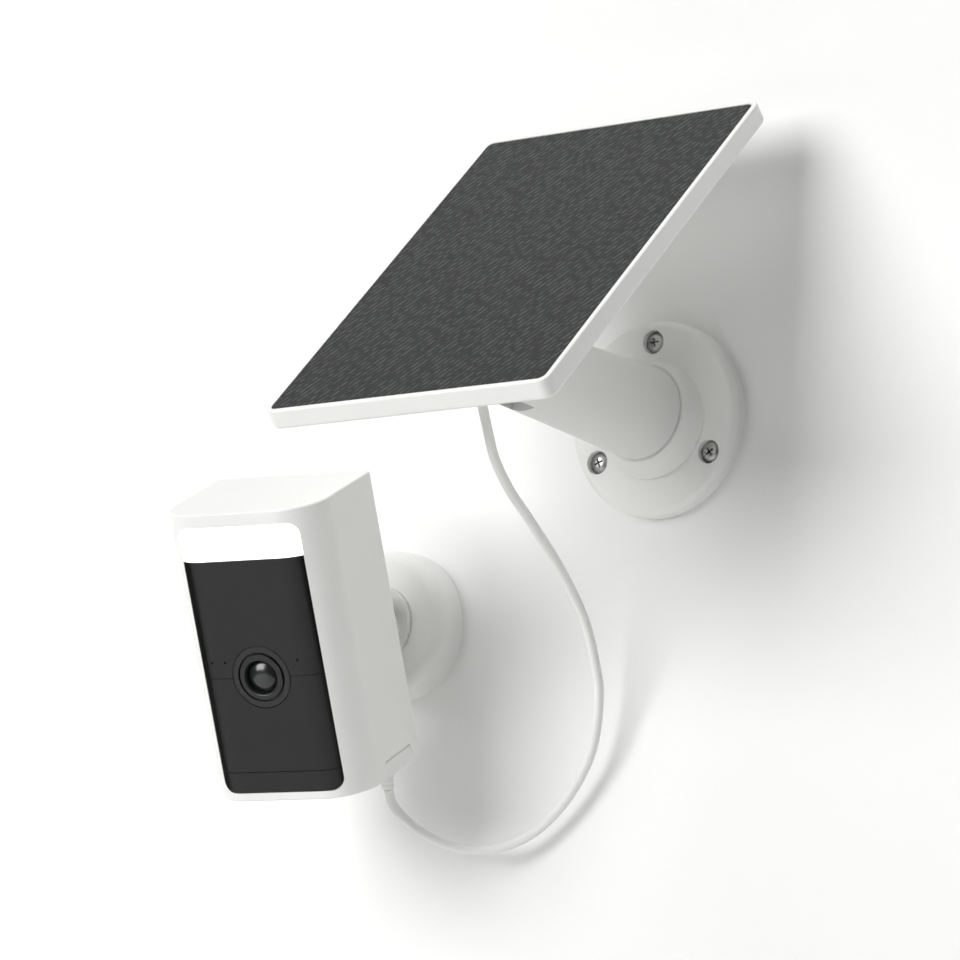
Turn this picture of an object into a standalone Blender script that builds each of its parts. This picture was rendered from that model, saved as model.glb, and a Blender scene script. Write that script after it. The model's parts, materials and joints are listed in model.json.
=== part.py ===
"""Wall-mounted security camera with its own solar panel: two wall bases, a panel on a jointed arm, a camera on a
swivel mount, and the cord that joins them.

The wall is the plane Y = 0 and the object stands out from it towards -Y. The origin is the centre of the panel's
wall base, on the wall. Lengths below are in millimetres and angles in degrees; each mesh is made in metres.
"""

from math import acos, atan2, cos, pi, radians, sin

import bmesh
import bpy
from mathutils import Matrix, Vector

MM = 0.001
GAP = 0.3  # left between pieces that touch

# Panel's wall base and arm. "Out" is the distance along the arm from the wall.
PLATE_R = 35.8
PLATE_T = 6.7
PLATE_RIM = 2.6
SCREW_CIRCLE_R = 28.0
SCREW_ANGLES = (90, 210, 330)
ARM_RISE = 4.3
HUB_R = 18.2
HUB_TOP = 14.0
SPIGOT_R = 11.9
SPIGOT_TOP = 31.0
ARM_ROOT = 15.6
ARM_ROOT_R = 17.2
ARM_END_R = 14.4
ARM_REACH = 97.0
ARM_BORE_R = 12.2
ARM_WEB = (31.8, 35.4)
ARM_CAVITY_R = 10.4
SLOT_HALF = 4.7
PIVOT_HOLE_R = 2.3

# Solar panel, in its own frame: X across, Y up the slope, Z out of the cells, with the tilt pivot at 0, 0, 0.
PANEL_TILT = 43.3
PANEL_W = 120.0
PANEL_L = 174.6
PANEL_UP = 30.5
PANEL_FRONT = 24.4
PANEL_T = 7.5
PANEL_CORNER = 4.6
PANEL_BORDER = 2.0
GLAND_UP = -20.0

# Camera's wall base and swivel mount
PUCK_X = -116.8
PUCK_Z = -68.0
PUCK_R = 27.9
PUCK_T = 13.5
PUCK_FILLET = 4.5
NECK_R = 8.0
KNUCKLE_OUT = 22.8
KNUCKLE_R = 6.8
STEM_HALF = 3.8

# Camera, in its own frame: X across, -Y out of the lens, Z up, with the lens centre on the window at 0, 0, 0.
CAMERA_YAW = 10.6
CAMERA_PITCH = 23.9
LENS_OUT = 84.3  # from the knuckle's axis to the window's face
LENS_UP = 5.5  # from the stem's axis to the lens
BODY_HALF = 31.5
BODY_DEPTH = 50.7
BODY_TOP = 60.6
BODY_BOTTOM = -46.2
BODY_WALL = 2.0
FRONT_R = 16.0
REAR_R = 3.5
WINDOW_TURN = 33.0  # how far the window wraps round each front corner
WINDOW_TOP = 55.6
WINDOW_BOTTOM = -43.1
WINDOW_T = 1.8
WINDOW_CORNER = 4.5
SPOT_BOTTOM = 43.2
TRIM_TOP = -35.3
LENS_RING_R = 11.4
PORT = (20.0, 41.0)
FLAP_Y = (18.8, 44.4)
FLAP_TOP_Y = (21.5, 41.7)
FLAP_Z = (-46.2, -39.8)
FLAP_T = 1.7
FLAP_EASE = 0.6  # taken off each side at the hinge, so that the flap turns clear of its doorway
BUTTONS = {"power_button": (-20.0, 38.0), "sync_button": (-7.0, 38.0)}
COVER_SCREWS = ((-25.0, 52.5), (25.0, 52.5), (-11.0, -37.0), (11.0, -37.0))
BUTTON_R = 2.9

CORD_R = 1.75
# The cord's route in the object's frame, from the panel's gland to the relief on its plug, chosen by hand.
CORD_ROUTE = [
    (0.0, -115.2, -2.3),
    (0.0, -112.7, -5.0),
    (-0.1, -108.6, -10.6),
    (-0.4, -104.9, -18.5),
    (-2.0, -98.6, -27.1),
    (-3.9, -87.4, -36.1),
    (-6.9, -71.0, -44.7),
    (-11.0, -47.5, -58.2),
    (-13.2, -29.5, -74.0),
    (-15.3, -18.6, -90.9),
    (-17.0, -14.4, -102.0),
    (-22.5, -10.6, -119.0),
    (-33.5, -8.6, -134.5),
    (-46.6, -8.6, -145.9),
    (-58.4, -10.8, -151.8),
    (-68.9, -14.8, -153.7),
    (-77.7, -20.4, -152.4),
    (-86.0, -26.6, -147.8),
    (-91.1, -31.4, -142.4),
    (-93.6, -34.9, -137.6),
    (-93.7, -37.6, -132.4),
]
CORD_STEP = 8.5

COLOURS = {
    "white_shell": ("E6E6E4", 0.45, 0.0),
    "white_arm": ("DADAD8", 0.5, 0.0),
    "black_window": ("1B1C1C", 0.12, 0.0),
    "spot_diffuser": ("FBFBF8", 0.35, 0.0),
    "solar_glass": ("2C2F2E", 0.25, 0.0),
    "solar_cells": ("23262B", 0.4, 0.0),
    "steel": ("A8A8A6", 0.35, 1.0),
    "brass": ("B59A5B", 0.35, 1.0),
    "rubber": ("C9C9C7", 0.7, 0.0),
    "black_plastic": ("202121", 0.5, 0.0),
    "lens_glass": ("0C0E12", 0.05, 0.0),
    "circuit_board": ("1F4D33", 0.5, 0.0),
    "cell_sleeve": ("3D6FA8", 0.45, 0.0),
    "cord_jacket": ("DADAD8", 0.55, 0.0),
    "acetal": ("D0CFC8", 0.5, 0.0),
}
BOARD_T = 1.2


def clear_scene():
    for old in list(bpy.data.objects):
        bpy.data.objects.remove(old, do_unlink=True)


def linear(channel):
    return channel / 12.92 if channel <= 0.04045 else ((channel + 0.055) / 1.055) ** 2.4


def finish(name):
    """The named material, made the first time that it is asked for."""
    if name in bpy.data.materials:
        return bpy.data.materials[name]
    shade, roughness, metallic = COLOURS[name]
    made = bpy.data.materials.new(name)
    made.use_nodes = True
    shader = made.node_tree.nodes["Principled BSDF"]
    rgb = [linear(int(shade[i : i + 2], 16) / 255) for i in (0, 2, 4)]
    shader.inputs["Base Color"].default_value = (*rgb, 1)
    shader.inputs["Roughness"].default_value = roughness
    shader.inputs["Metallic"].default_value = metallic
    return made


def axis_empty(name, parent=None, place=(0, 0, 0), turn=(0, 0, 0)):
    """A frame that pieces are placed in; a joint's axis runs through it."""
    empty = bpy.data.objects.new(name, None)
    bpy.context.scene.collection.objects.link(empty)
    empty.parent = parent
    empty.location = Vector(place) * MM
    empty.rotation_euler = [radians(angle) for angle in turn]
    return empty


def piece(name, mesh, material, parent=None, place=(0, 0, 0), turn=(0, 0, 0)):
    """An object from a bmesh in millimetres. Each piece has a material of its own."""
    bmesh.ops.remove_doubles(mesh, verts=mesh.verts, dist=1e-4)
    bmesh.ops.recalc_face_normals(mesh, faces=mesh.faces)
    bmesh.ops.scale(mesh, vec=(MM, MM, MM), verts=mesh.verts)
    data = bpy.data.meshes.new(name)
    mesh.to_mesh(data)
    mesh.free()
    data.shade_smooth()
    data.set_sharp_from_angle(angle=radians(35))
    made = bpy.data.objects.new(name, data)
    bpy.context.scene.collection.objects.link(made)
    data.materials.append(finish(material).copy() if material else None)
    made.parent = parent
    made.location = Vector(place) * MM
    made.rotation_euler = [radians(angle) for angle in turn]
    return made


def helper(mesh, parent=None, place=(0, 0, 0), turn=(0, 0, 0)):
    """A cutter or a shape to join on, left out of the object itself."""
    made = piece("helper", mesh, None, parent, place, turn)
    made.hide_render = True
    made.display_type = "WIRE"
    return made


def boolean(target, other, operation):
    step = target.modifiers.new(operation.title(), "BOOLEAN")
    step.operation = operation
    step.solver = "EXACT"
    step.object = other


def cut(target, *others):
    for other in others:
        boolean(target, other, "DIFFERENCE")


def join(target, *others):
    for other in others:
        boolean(target, other, "UNION")


def arc(centre, radius, start, end, steps):
    """Points on an arc, both ends included; angles in degrees."""
    angles = [radians(start + (end - start) * i / steps) for i in range(steps + 1)]
    return [(centre[0] + radius * cos(a), centre[1] + radius * sin(a)) for a in angles]


def rounded_rectangle(width, height, radius, steps=4):
    x, y = width / 2 - radius, height / 2 - radius
    corners = ((x, y, 0), (-x, y, 90), (-x, -y, 180), (x, -y, 270))
    return [p for cx, cy, a in corners for p in arc((cx, cy), radius, a, a + 90, steps)]


def hexagon(radius):
    """Corners of a hexagon of this radius to its corners."""
    return [(radius * cos(i * pi / 3), radius * sin(i * pi / 3)) for i in range(6)]


def prism(outline, low, high, along="Z"):
    """The outline pushed from low to high. Along Z it is (x, y); along Y it is (x, z); along X it is (y, z)."""
    orders = {"Z": lambda a, b, c: (a, b, c), "Y": lambda a, b, c: (a, c, b), "X": lambda a, b, c: (c, a, b)}
    order = orders[along]
    mesh = bmesh.new()
    face = mesh.faces.new([mesh.verts.new(order(a, b, low)) for a, b in outline])
    pushed = bmesh.ops.extrude_face_region(mesh, geom=[face])["geom"]
    moved = [v for v in pushed if isinstance(v, bmesh.types.BMVert)]
    bmesh.ops.translate(mesh, vec=order(0, 0, high - low), verts=moved)
    return mesh


def block(low, high):
    outline = [(low[0], low[1]), (high[0], low[1]), (high[0], high[1]), (low[0], high[1])]
    return prism(outline, low[2], high[2])


def turned(profile, steps=32, along="-Y"):
    """A solid of revolution. The profile is (radius, distance) points round the section, in order; it either closes
    on itself, clear of the axis, or starts and ends on the axis."""
    mesh = bmesh.new()
    points = [mesh.verts.new((r, 0, h)) for r, h in profile]
    edges = [mesh.edges.new(pair) for pair in zip(points, points[1:])]
    if profile[0][0] > 0:
        edges.append(mesh.edges.new((points[-1], points[0])))
    bmesh.ops.spin(
        mesh, geom=points + edges, cent=(0, 0, 0), axis=(0, 0, 1), angle=2 * pi, steps=steps, use_merge=True
    )
    bmesh.ops.remove_doubles(mesh, verts=mesh.verts, dist=1e-4)
    turns = {"Z": Matrix(), "-Y": Matrix.Rotation(pi / 2, 4, "X"), "X": Matrix.Rotation(pi / 2, 4, "Y")}
    bmesh.ops.transform(mesh, matrix=turns[along], verts=mesh.verts)
    return mesh


def rod(radius, low, high, steps=24, along="-Y"):
    return turned([(0, low), (radius, low), (radius, high), (0, high)], steps, along)


def ring(inner, outer, low, high, steps=32, along="-Y"):
    return turned([(inner, low), (outer, low), (outer, high), (inner, high)], steps, along)


def cross_prism(reach, half, low, high):
    """The cutter for a cross recess."""
    outline = [(half, half), (half, reach), (-half, reach), (-half, half), (-reach, half), (-reach, -half)]
    outline += [(-half, -half), (-half, -reach), (half, -reach), (half, -half), (reach, -half), (reach, half)]
    return prism(outline, -high, -low, along="Y")


def cross_screw(name, head_r, seat, head_t, shank_r, shank_to, parent=None, place=(0, 0, 0), turn=(0, 0, 0)):
    """A pan-head screw that points into the wall: its head sits from seat outwards, its shank goes in."""
    top = seat + head_t
    dome = 0.45 * head_t
    profile = [(0, shank_to), (shank_r, shank_to), (shank_r, seat), (head_r, seat), (head_r, top - dome)]
    profile += [(0.72 * head_r, top - 0.25 * dome), (0.4 * head_r, top), (0, top)]
    screw = piece(name, turned(profile, 12), "steel", parent, place, turn)
    recess = cross_prism(0.58 * head_r, 0.13 * head_r, top - 0.55 * head_t, top + 1)
    cut(screw, helper(recess, parent, place, turn))
    return screw


# ---- panel's wall base ----


def arm_base_plate(arm_axis):
    rim = arc((PLATE_R - PLATE_RIM, PLATE_T - PLATE_RIM), PLATE_RIM, 0, 90, 3)
    plate = piece("arm_base_plate", turned([(0, 0), (PLATE_R, 0)] + rim + [(0, PLATE_T)], 36), "white_shell")
    flare_r = 6.0
    flare = arc((HUB_R + flare_r, HUB_TOP - 1.2), flare_r, 180, 250, 3)
    hub = [(0, 3.0), (20.5, 3.0)] + flare[::-1] + [(HUB_R, HUB_TOP), (SPIGOT_R, HUB_TOP)]
    hub += [(SPIGOT_R, SPIGOT_TOP), (2.1, SPIGOT_TOP), (2.1, 16.0), (0, 16.0)]
    join(plate, helper(turned(hub, 24), arm_axis))
    for angle in SCREW_ANGLES:
        x, z = SCREW_CIRCLE_R * cos(radians(angle)), SCREW_CIRCLE_R * sin(radians(angle))
        cutter = turned([(0, -1), (2.4, -1), (2.4, 3.2), (4.2, 3.2), (4.2, 12), (0, 12)], 12)
        cut(plate, helper(cutter, None, (x, 0, z)))
    return plate


def wall_screws():
    for number, angle in enumerate(SCREW_ANGLES, 1):
        x, z = SCREW_CIRCLE_R * cos(radians(angle)), SCREW_CIRCLE_R * sin(radians(angle))
        cross_screw(f"wall_screw_{number}", 3.75, 3.2 + GAP, 2.3, 2.0, 0.4, None, (x, 0, z), (0, 12 * number, 0))


# ---- arm ----


def arm_tube(arm_axis):
    web_in, web_out = ARM_WEB
    profile = arc((0, ARM_REACH), ARM_END_R, 90, 0, 5)
    profile += [(ARM_ROOT_R, ARM_ROOT + 0.6), (ARM_ROOT_R - 0.6, ARM_ROOT), (ARM_BORE_R, ARM_ROOT)]
    profile += [(ARM_BORE_R, web_in), (2.2, web_in), (2.2, web_out), (ARM_CAVITY_R, web_out)]
    profile += [(ARM_CAVITY_R, 78.0), (7.5, 86.0), (0, 86.0)]
    tube = piece("arm_tube", turned(profile, 24), "white_arm", arm_axis)
    end = ARM_REACH + ARM_END_R + 2
    slot = block((-SLOT_HALF, -end, -20), (SLOT_HALF, -(ARM_REACH - 12.5), 20))
    pivot = rod(PIVOT_HOLE_R, -20, 20, 12, "X")
    cut(tube, helper(slot, arm_axis), helper(pivot, arm_axis, (0, -ARM_REACH, 0)))
    for side in (-1, 1):
        low, high = sorted((side * 9.6, side * 20))
        cut(tube, helper(rod(4.4, low, high, 16, "X"), arm_axis, (0, -ARM_REACH, 0)))
    return tube


def arm_hardware(arm_axis):
    washer = ring(SPIGOT_R + 0.7, ARM_ROOT_R - 0.5, HUB_TOP + GAP, ARM_ROOT - GAP, 24)
    piece("arm_friction_ring", washer, "acetal", arm_axis)
    head = ARM_WEB[1] + GAP
    piece("arm_retaining_washer", ring(2.2, 6.0, head, head + 1.0, 14), "steel", arm_axis)
    cross_screw("arm_retaining_screw", 4.2, head + 1.3, 2.6, 1.8, 17.0, arm_axis)
    pivot = (0, -ARM_REACH, 0)
    bolt = [(0, -13.0), (2.0, -13.0), (2.0, 9.9), (4.1, 9.9), (4.1, 12.4), (3.5, 13.0), (0, 13.0)]
    made = piece("tilt_bolt", turned(bolt, 14, "X"), "steel", arm_axis, pivot)
    cut(made, helper(prism(hexagon(2.5), 11.4, 14, "X"), arm_axis, pivot))
    nut = piece("tilt_nut", prism(hexagon(4.1), -12.6, -9.9, "X"), "steel", arm_axis, pivot)
    cut(nut, helper(rod(PIVOT_HOLE_R, -14, -8, 12, "X"), arm_axis, pivot))


# ---- solar panel ----


def panel_frame(panel_axis):
    back, front = PANEL_FRONT - PANEL_T, PANEL_FRONT
    middle = (0, PANEL_UP, 0)
    outline = rounded_rectangle(PANEL_W, PANEL_L, PANEL_CORNER)
    frame = piece("panel_frame", prism(outline, back, front), "white_shell", panel_axis, middle)
    width, length = PANEL_W - 2 * PANEL_BORDER, PANEL_L - 2 * PANEL_BORDER
    recess = rounded_rectangle(width, length, PANEL_CORNER - PANEL_BORDER)
    cut(frame, helper(prism(recess, front - 1.8, front + 2), panel_axis, middle))
    cut(frame, helper(prism(rounded_rectangle(width - 6, length - 6, 2), back + 1.8, front), panel_axis, middle))
    pad = block((-16, -14, back + 1), (16, 14, back + 3.6))
    join(frame, helper(pad, panel_axis))
    for x, y in bracket_screw_places():
        cut(frame, helper(rod(1.2, back - 1, back + 3.0, 8, "Z"), panel_axis, (x, y, 0)))
    cut(frame, helper(rod(2.6, back - 2, back + 5, 12, "Z"), panel_axis, (0, GLAND_UP, 0)))
    return frame


def bracket_screw_places():
    return [(x, 9.0) for x in (-11.5, 11.5)]


def solar_layers(panel_axis):
    middle = (0, PANEL_UP, 0)
    width, length = PANEL_W - 2 * PANEL_BORDER - 2 * GAP, PANEL_L - 2 * PANEL_BORDER - 2 * GAP
    outline = rounded_rectangle(width, length, PANEL_CORNER - PANEL_BORDER - GAP)
    glass = prism(outline, PANEL_FRONT - 1.5, PANEL_FRONT - 0.2)
    piece("solar_glass", glass, "solar_glass", panel_axis, middle)
    cells = prism(rounded_rectangle(width - 6, length - 6, 1.0), PANEL_FRONT - 2.6, PANEL_FRONT - 1.8)
    piece("solar_cells", cells, "solar_cells", panel_axis, middle)
    board = block((-14, -30, PANEL_FRONT - 5.2), (14, -16, PANEL_FRONT - 4.0))
    board_made = piece("charge_board", board, "circuit_board", panel_axis)
    cut(board_made, helper(rod(2.6, 10, 30, 10, "Z"), panel_axis, (0, GLAND_UP, 0)))


def panel_bracket(panel_axis):
    back = PANEL_FRONT - PANEL_T
    flange = prism(rounded_rectangle(32, 30, 3), ARM_END_R + GAP, back - GAP)
    bracket = piece("panel_bracket", flange, "white_arm", panel_axis)
    half = SLOT_HALF - 0.5
    eye = 10.0
    tongue = arc((0, 0), eye, 180, 360, 8) + [(eye, back - 1.2), (-eye, back - 1.2)]
    join(bracket, helper(prism(tongue, -half, half, "X"), panel_axis))
    cut(bracket, helper(rod(PIVOT_HOLE_R, -12, 12, 12, "X"), panel_axis))
    for x, y in bracket_screw_places():
        cut(bracket, helper(rod(1.2, 10, 20, 8, "Z"), panel_axis, (x, y, 0)))
    return bracket


def bracket_screws(panel_axis):
    seat = ARM_END_R
    for number, (x, y) in enumerate(bracket_screw_places(), 1):
        profile = [(0, seat - 1.4), (1.4, seat - 1.4), (2.1, seat - 0.8), (2.1, seat), (0.9, seat)]
        profile += [(0.9, seat + 4.8), (0, seat + 4.8)]
        piece(f"bracket_screw_{number}", turned(profile, 10, "Z"), "steel", panel_axis, (x, y, 0))


def cable_gland(panel_axis):
    back = PANEL_FRONT - PANEL_T
    profile = [(0, back + 1.5), (2.2, back + 1.5), (2.2, back - GAP), (4.2, back - GAP), (4.2, back - 2.0)]
    profile += [(3.0, back - 2.8), (2.1, 6.0), (0, 6.0)]
    piece("cable_gland", turned(profile[::-1], 14, "Z"), "cord_jacket", panel_axis, (0, GLAND_UP, 0))


# ---- camera's wall base and swivel mount ----


def camera_base(puck_axis):
    wall = 2.2
    outer = arc((PUCK_R - PUCK_FILLET, PUCK_T - PUCK_FILLET), PUCK_FILLET, 0, 90, 3)
    inner = arc((PUCK_R - PUCK_FILLET, PUCK_T - PUCK_FILLET), PUCK_FILLET - wall, 90, 0, 2)
    hole = NECK_R + GAP
    profile = [(PUCK_R - wall, 0), (PUCK_R, 0)] + outer + [(hole, PUCK_T), (hole, PUCK_T - wall)] + inner
    piece("camera_base_shell", turned(profile, 30), "white_shell", puck_axis)
    plate = piece("camera_base_plate", rod(PUCK_R - wall - 1.0, 0, 3.0, 30), "acetal", puck_axis)
    for number, x in enumerate((-16.0, 16.0), 1):
        cut(plate, helper(rod(2.3, -1, 5, 12), puck_axis, (x, 0, 0)))
        cross_screw(f"camera_base_screw_{number}", 3.6, 3.0 + GAP, 2.0, 2.0, 0.4, puck_axis, (x, 0, 0))


def turret(turret_axis):
    front = PUCK_T + GAP
    disc = [(0, 7.2), (NECK_R, 7.2), (NECK_R, front), (14.0, front), (14.0, front + 1.2), (13.4, front + 1.8)]
    made = piece("swivel_turret", turned(disc + [(0, front + 1.8)], 24), "white_shell", turret_axis)
    reach = KNUCKLE_OUT
    inner, outer = STEM_HALF + 0.4, STEM_HALF + 4.4
    for side in (-1, 1):
        low, high = sorted((side * inner, side * outer))
        ear = [(-reach + b, a) for a, b in arc((0, 0), KNUCKLE_R, 0, -180, 8)]
        ear += [(-(front + 1), -KNUCKLE_R), (-(front + 1), KNUCKLE_R)]
        join(made, helper(prism(ear, low, high, "X"), turret_axis))
    cut(made, helper(rod(2.3, -12, 12, 12, "X"), turret_axis, (0, -reach, 0)))
    piece("turret_clip", ring(6.6, 10.5, 5.0, 6.9, 16), "steel", turret_axis)
    bolt = [(0, -11.6), (2.0, -11.6), (2.0, 8.5), (3.9, 8.5), (3.9, 10.6), (3.3, 11.2), (0, 11.2)]
    made_bolt = piece("knuckle_bolt", turned(bolt, 12, "X"), "steel", turret_axis, (0, -reach, 0))
    cut(made_bolt, helper(prism(hexagon(2.4), 9.8, 13, "X"), turret_axis, (0, -reach, 0)))
    nut = piece("knuckle_nut", prism(hexagon(3.9), -11.0, -8.5, "X"), "steel", turret_axis, (0, -reach, 0))
    cut(nut, helper(rod(PIVOT_HOLE_R, -13, -7, 12, "X"), turret_axis, (0, -reach, 0)))


def stem(knuckle_axis):
    rear = LENS_OUT - BODY_DEPTH
    shank = [(0, 5.0), (3.6, 5.0), (3.6, 7.6), (4.6, 8.6), (4.6, 13.0), (6.2, 16.0), (6.2, 19.0), (3.0, 19.0)]
    shank += [(3.0, rear + 6.5), (0, rear + 6.5)]
    made = piece("camera_stem", turned(shank, 16), "steel", knuckle_axis)
    eye = [(b, a) for a, b in arc((0, 0), 6.6, 0, 180, 8)] + [(-9.0, -6.6), (-9.0, 6.6)]
    join(made, helper(prism(eye, -STEM_HALF, STEM_HALF, "X"), knuckle_axis))
    cut(made, helper(rod(2.3, -8, 8, 12, "X"), knuckle_axis))


def lock_ring(knuckle_axis):
    low, high = 19.0 + GAP, LENS_OUT - BODY_DEPTH - GAP
    outline = []
    for step in range(12):
        outline += arc((0, 0), 10.6 if step % 2 else 9.9, step * 30, step * 30 + 27, 1)
    made = piece("lock_ring", prism(outline, -high, -low, "Y"), "black_plastic", knuckle_axis)
    cut(made, helper(rod(3.0 + GAP, low - 1, high + 1, 12), knuckle_axis))


# ---- camera ----


def body_plan(inset=0.0):
    """The body's section seen from above: wide curves at the front corners, small ones at the back."""
    half, front, rear = BODY_HALF - inset, FRONT_R - inset, max(REAR_R - inset, 0.8)
    across, back = BODY_HALF - FRONT_R, BODY_DEPTH - inset
    plan = arc((-across, FRONT_R), front, 180, 270, 6) + arc((across, FRONT_R), front, 270, 360, 6)
    return plan + arc((half - rear, back - rear), rear, 0, 90, 3) + arc((-half + rear, back - rear), rear, 90, 180, 3)


def window_band(depth, thick, turn):
    """A strip of the front, flat in the middle and wrapped round both corners."""
    across = BODY_HALF - FRONT_R
    outer = arc((-across, FRONT_R), FRONT_R - depth, 270 - turn, 270, 4)
    outer += arc((across, FRONT_R), FRONT_R - depth, 270, 270 + turn, 4)
    inner = arc((across, FRONT_R), FRONT_R - depth - thick, 270 + turn, 270, 4)
    inner += arc((-across, FRONT_R), FRONT_R - depth - thick, 270, 270 - turn, 4)
    return outer + inner


def window_half():
    return BODY_HALF - FRONT_R + FRONT_R * sin(radians(WINDOW_TURN))


def front_opening(gap):
    """The window's rounded outline, as a prism through the front."""
    width, height = 2 * (window_half() + gap), WINDOW_TOP - WINDOW_BOTTOM + 2 * gap
    middle = (WINDOW_TOP + WINDOW_BOTTOM) / 2
    outline = [(x, z + middle) for x, z in rounded_rectangle(width, height, WINDOW_CORNER + gap)]
    return prism(outline, -3, 9, "Y")


def flap_outline(gap):
    """The flap's doorway seen from the side, open downwards, drawn in by the gap."""
    low, high = FLAP_Z
    outline = [(FLAP_Y[0] + gap, low - 1), (FLAP_TOP_Y[0] + gap, high - gap)]
    return outline + [(FLAP_TOP_Y[1] - gap, high - gap), (FLAP_Y[1] - gap, low - 1)]


def housing_shell(camera_frame):
    shell = piece("housing_shell", prism(body_plan(), BODY_BOTTOM, BODY_TOP), "white_shell", camera_frame)
    cavity = prism(body_plan(BODY_WALL), BODY_BOTTOM + BODY_WALL, BODY_TOP - BODY_WALL)
    cut(shell, helper(cavity, camera_frame))
    x, low, high = BODY_HALF - BODY_WALL - 0.3, BODY_BOTTOM + BODY_WALL, BODY_TOP - BODY_WALL
    cut(shell, helper(block((-x, BODY_DEPTH - 8, low), (x, BODY_DEPTH + 4, high)), camera_frame))
    for post_x, post_z in COVER_SCREWS:
        wall_z = BODY_TOP - 0.5 if post_z > 0 else BODY_BOTTOM + 0.5
        bottom, top = sorted((wall_z, post_z - 3.0 if post_z > 0 else post_z + 3.0))
        post = block((post_x - 3.0, BODY_DEPTH - 7.6, bottom), (post_x + 3.0, BODY_DEPTH - 2.6 - GAP, top))
        join(shell, helper(post, camera_frame))
        hole = rod(1.3, -BODY_DEPTH, -BODY_DEPTH + 6.6, 12)
        cut(shell, helper(hole, camera_frame, (post_x, 0, post_z)))
    cut(shell, helper(front_opening(0.0), camera_frame))
    cut(shell, helper(prism(flap_outline(0), BODY_HALF - 3.2, BODY_HALF + 2, "X"), camera_frame))
    holes = [PORT + (5.2,)] + [place + (BUTTON_R + GAP,) for place in BUTTONS.values()]
    for hole_x, hole_y, radius in holes:
        cutter = rod(radius, BODY_BOTTOM - 2, BODY_BOTTOM + 4, 14, "Z")
        cut(shell, helper(cutter, camera_frame, (hole_x, hole_y, 0)))
    return shell


def front_pieces(camera_frame):
    """The black window, the lit strip above it and the plain trim below it, each cut to the rounded opening."""
    spans = {
        "front_window": ("black_window", TRIM_TOP + GAP / 2, SPOT_BOTTOM - GAP / 2),
        "spotlight_lens": ("spot_diffuser", SPOT_BOTTOM + GAP / 2, WINDOW_TOP + 1),
        "lower_trim": ("black_window", WINDOW_BOTTOM - 1, TRIM_TOP - GAP / 2),
    }
    for name, (material, low, high) in spans.items():
        band = prism(window_band(0.0, WINDOW_T, WINDOW_TURN + 2), low, high)
        made = piece(name, band, material, camera_frame)
        boolean(made, helper(front_opening(-GAP), camera_frame), "INTERSECT")
    window = bpy.data.objects["front_window"]
    cut(window, helper(rod(LENS_RING_R + GAP, -10, 10, 24), camera_frame))


def lens_pieces(camera_frame):
    bezel = [(6.2, 0.6), (7.4, 0.6), (7.8, 0.0), (8.7, 0.0), (9.0, -0.5), (9.4, 0.0), (10.8, 0.4)]
    bezel += [(LENS_RING_R, 0.0), (LENS_RING_R, -6.0), (6.2, -6.0)]
    piece("lens_bezel", turned(bezel[::-1], 24), "black_plastic", camera_frame)
    dome = [(x, h) for x, h in arc((0, -7.4), 8.2, 48, 90, 4)]
    glass = [(0, -3.2), (dome[0][0], -3.2)] + dome
    piece("lens_glass", turned(glass, 18), "lens_glass", camera_frame)
    barrel = [(0, -19.0), (8.5, -19.0), (8.5, -11.0), (6.0, -6.6), (5.2, -3.5), (0, -3.5)]
    piece("lens_barrel", turned(barrel, 16), "black_plastic", camera_frame)


def boards(camera_frame):
    piece("sensor_board", block((-11, 19.3, -11), (11, 19.3 + BOARD_T, 11)), "circuit_board", camera_frame)
    piece("main_board", block((-27, 24.5, -34), (27, 24.5 + BOARD_T, 55)), "circuit_board", camera_frame)
    board = block((-20, 5.0, 44.5), (20, 5.0 + BOARD_T, 54.5))
    piece("spotlight_board", board, "circuit_board", camera_frame)
    for side, x in (("left", -10.0), ("right", 10.0)):
        led = block((x - 1.75, 3.2, 47.8), (x + 1.75, 4.7, 51.3))
        piece(f"spotlight_led_{side}", led, "spot_diffuser", camera_frame)


def sensors(camera_frame):
    can = [(0, -10.0), (4.6, -10.0), (4.6, -9.2), (4.1, -9.2), (4.1, -5.4), (0, -5.4)]
    piece("motion_sensor", turned(can, 14), "steel", camera_frame, (0, 0, -24))
    piece("microphone", rod(2.0, -6.0, -3.4, 14), "steel", camera_frame, (17, 0, 8))
    cone = [(0, -41.6), (10.0, -41.6), (10.0, -38.8), (6.5, -34.5), (0, -34.5)]
    piece("speaker", turned(cone, 16, "Z"), "black_plastic", camera_frame, (-13, 16, 0))


def power_pieces(camera_frame):
    for side, x in (("left", -18.6), ("right", 18.6)):
        cell = [(0, -20), (9.1, -20), (9.1, 44), (3.2, 44), (3.2, 45.2), (0, 45.2)]
        piece(f"battery_cell_{side}", turned(cell, 18, "Z"), "cell_sleeve", camera_frame, (x, 35.8, 0))
    mouth = -BODY_DEPTH + 0.6
    insert = [(0, -38.6), (5.4, -38.6), (5.4, mouth), (3.3, mouth), (3.3, -41.6), (0, -41.6)]
    piece("mount_insert", turned(insert, 16), "brass", camera_frame, (0, 0, -LENS_UP))
    box = block((PORT[0] - 6, PORT[1] - 4.5, -33.0), (PORT[0] + 6, PORT[1] + 4.5, -23.5))
    socket = piece("charge_port", box, "black_plastic", camera_frame)
    cut(socket, helper(rod(2.0, -34, -25.5, 10, "Z"), camera_frame, (*PORT, 0)))
    plug = [(0, -48.6), (3.9, -48.6), (4.3, -47.6), (4.3, -33.3), (1.7, -33.3), (1.7, -26.2), (0, -26.2)]
    piece("cord_plug", turned(plug, 14, "Z"), "cord_jacket", camera_frame, (*PORT, 0))
    relief = [(0, -56.4), (2.1, -56.4), (3.2, -48.9), (0, -48.9)]
    piece("cord_relief", turned(relief, 14, "Z"), "cord_jacket", camera_frame, (*PORT, 0))


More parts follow.
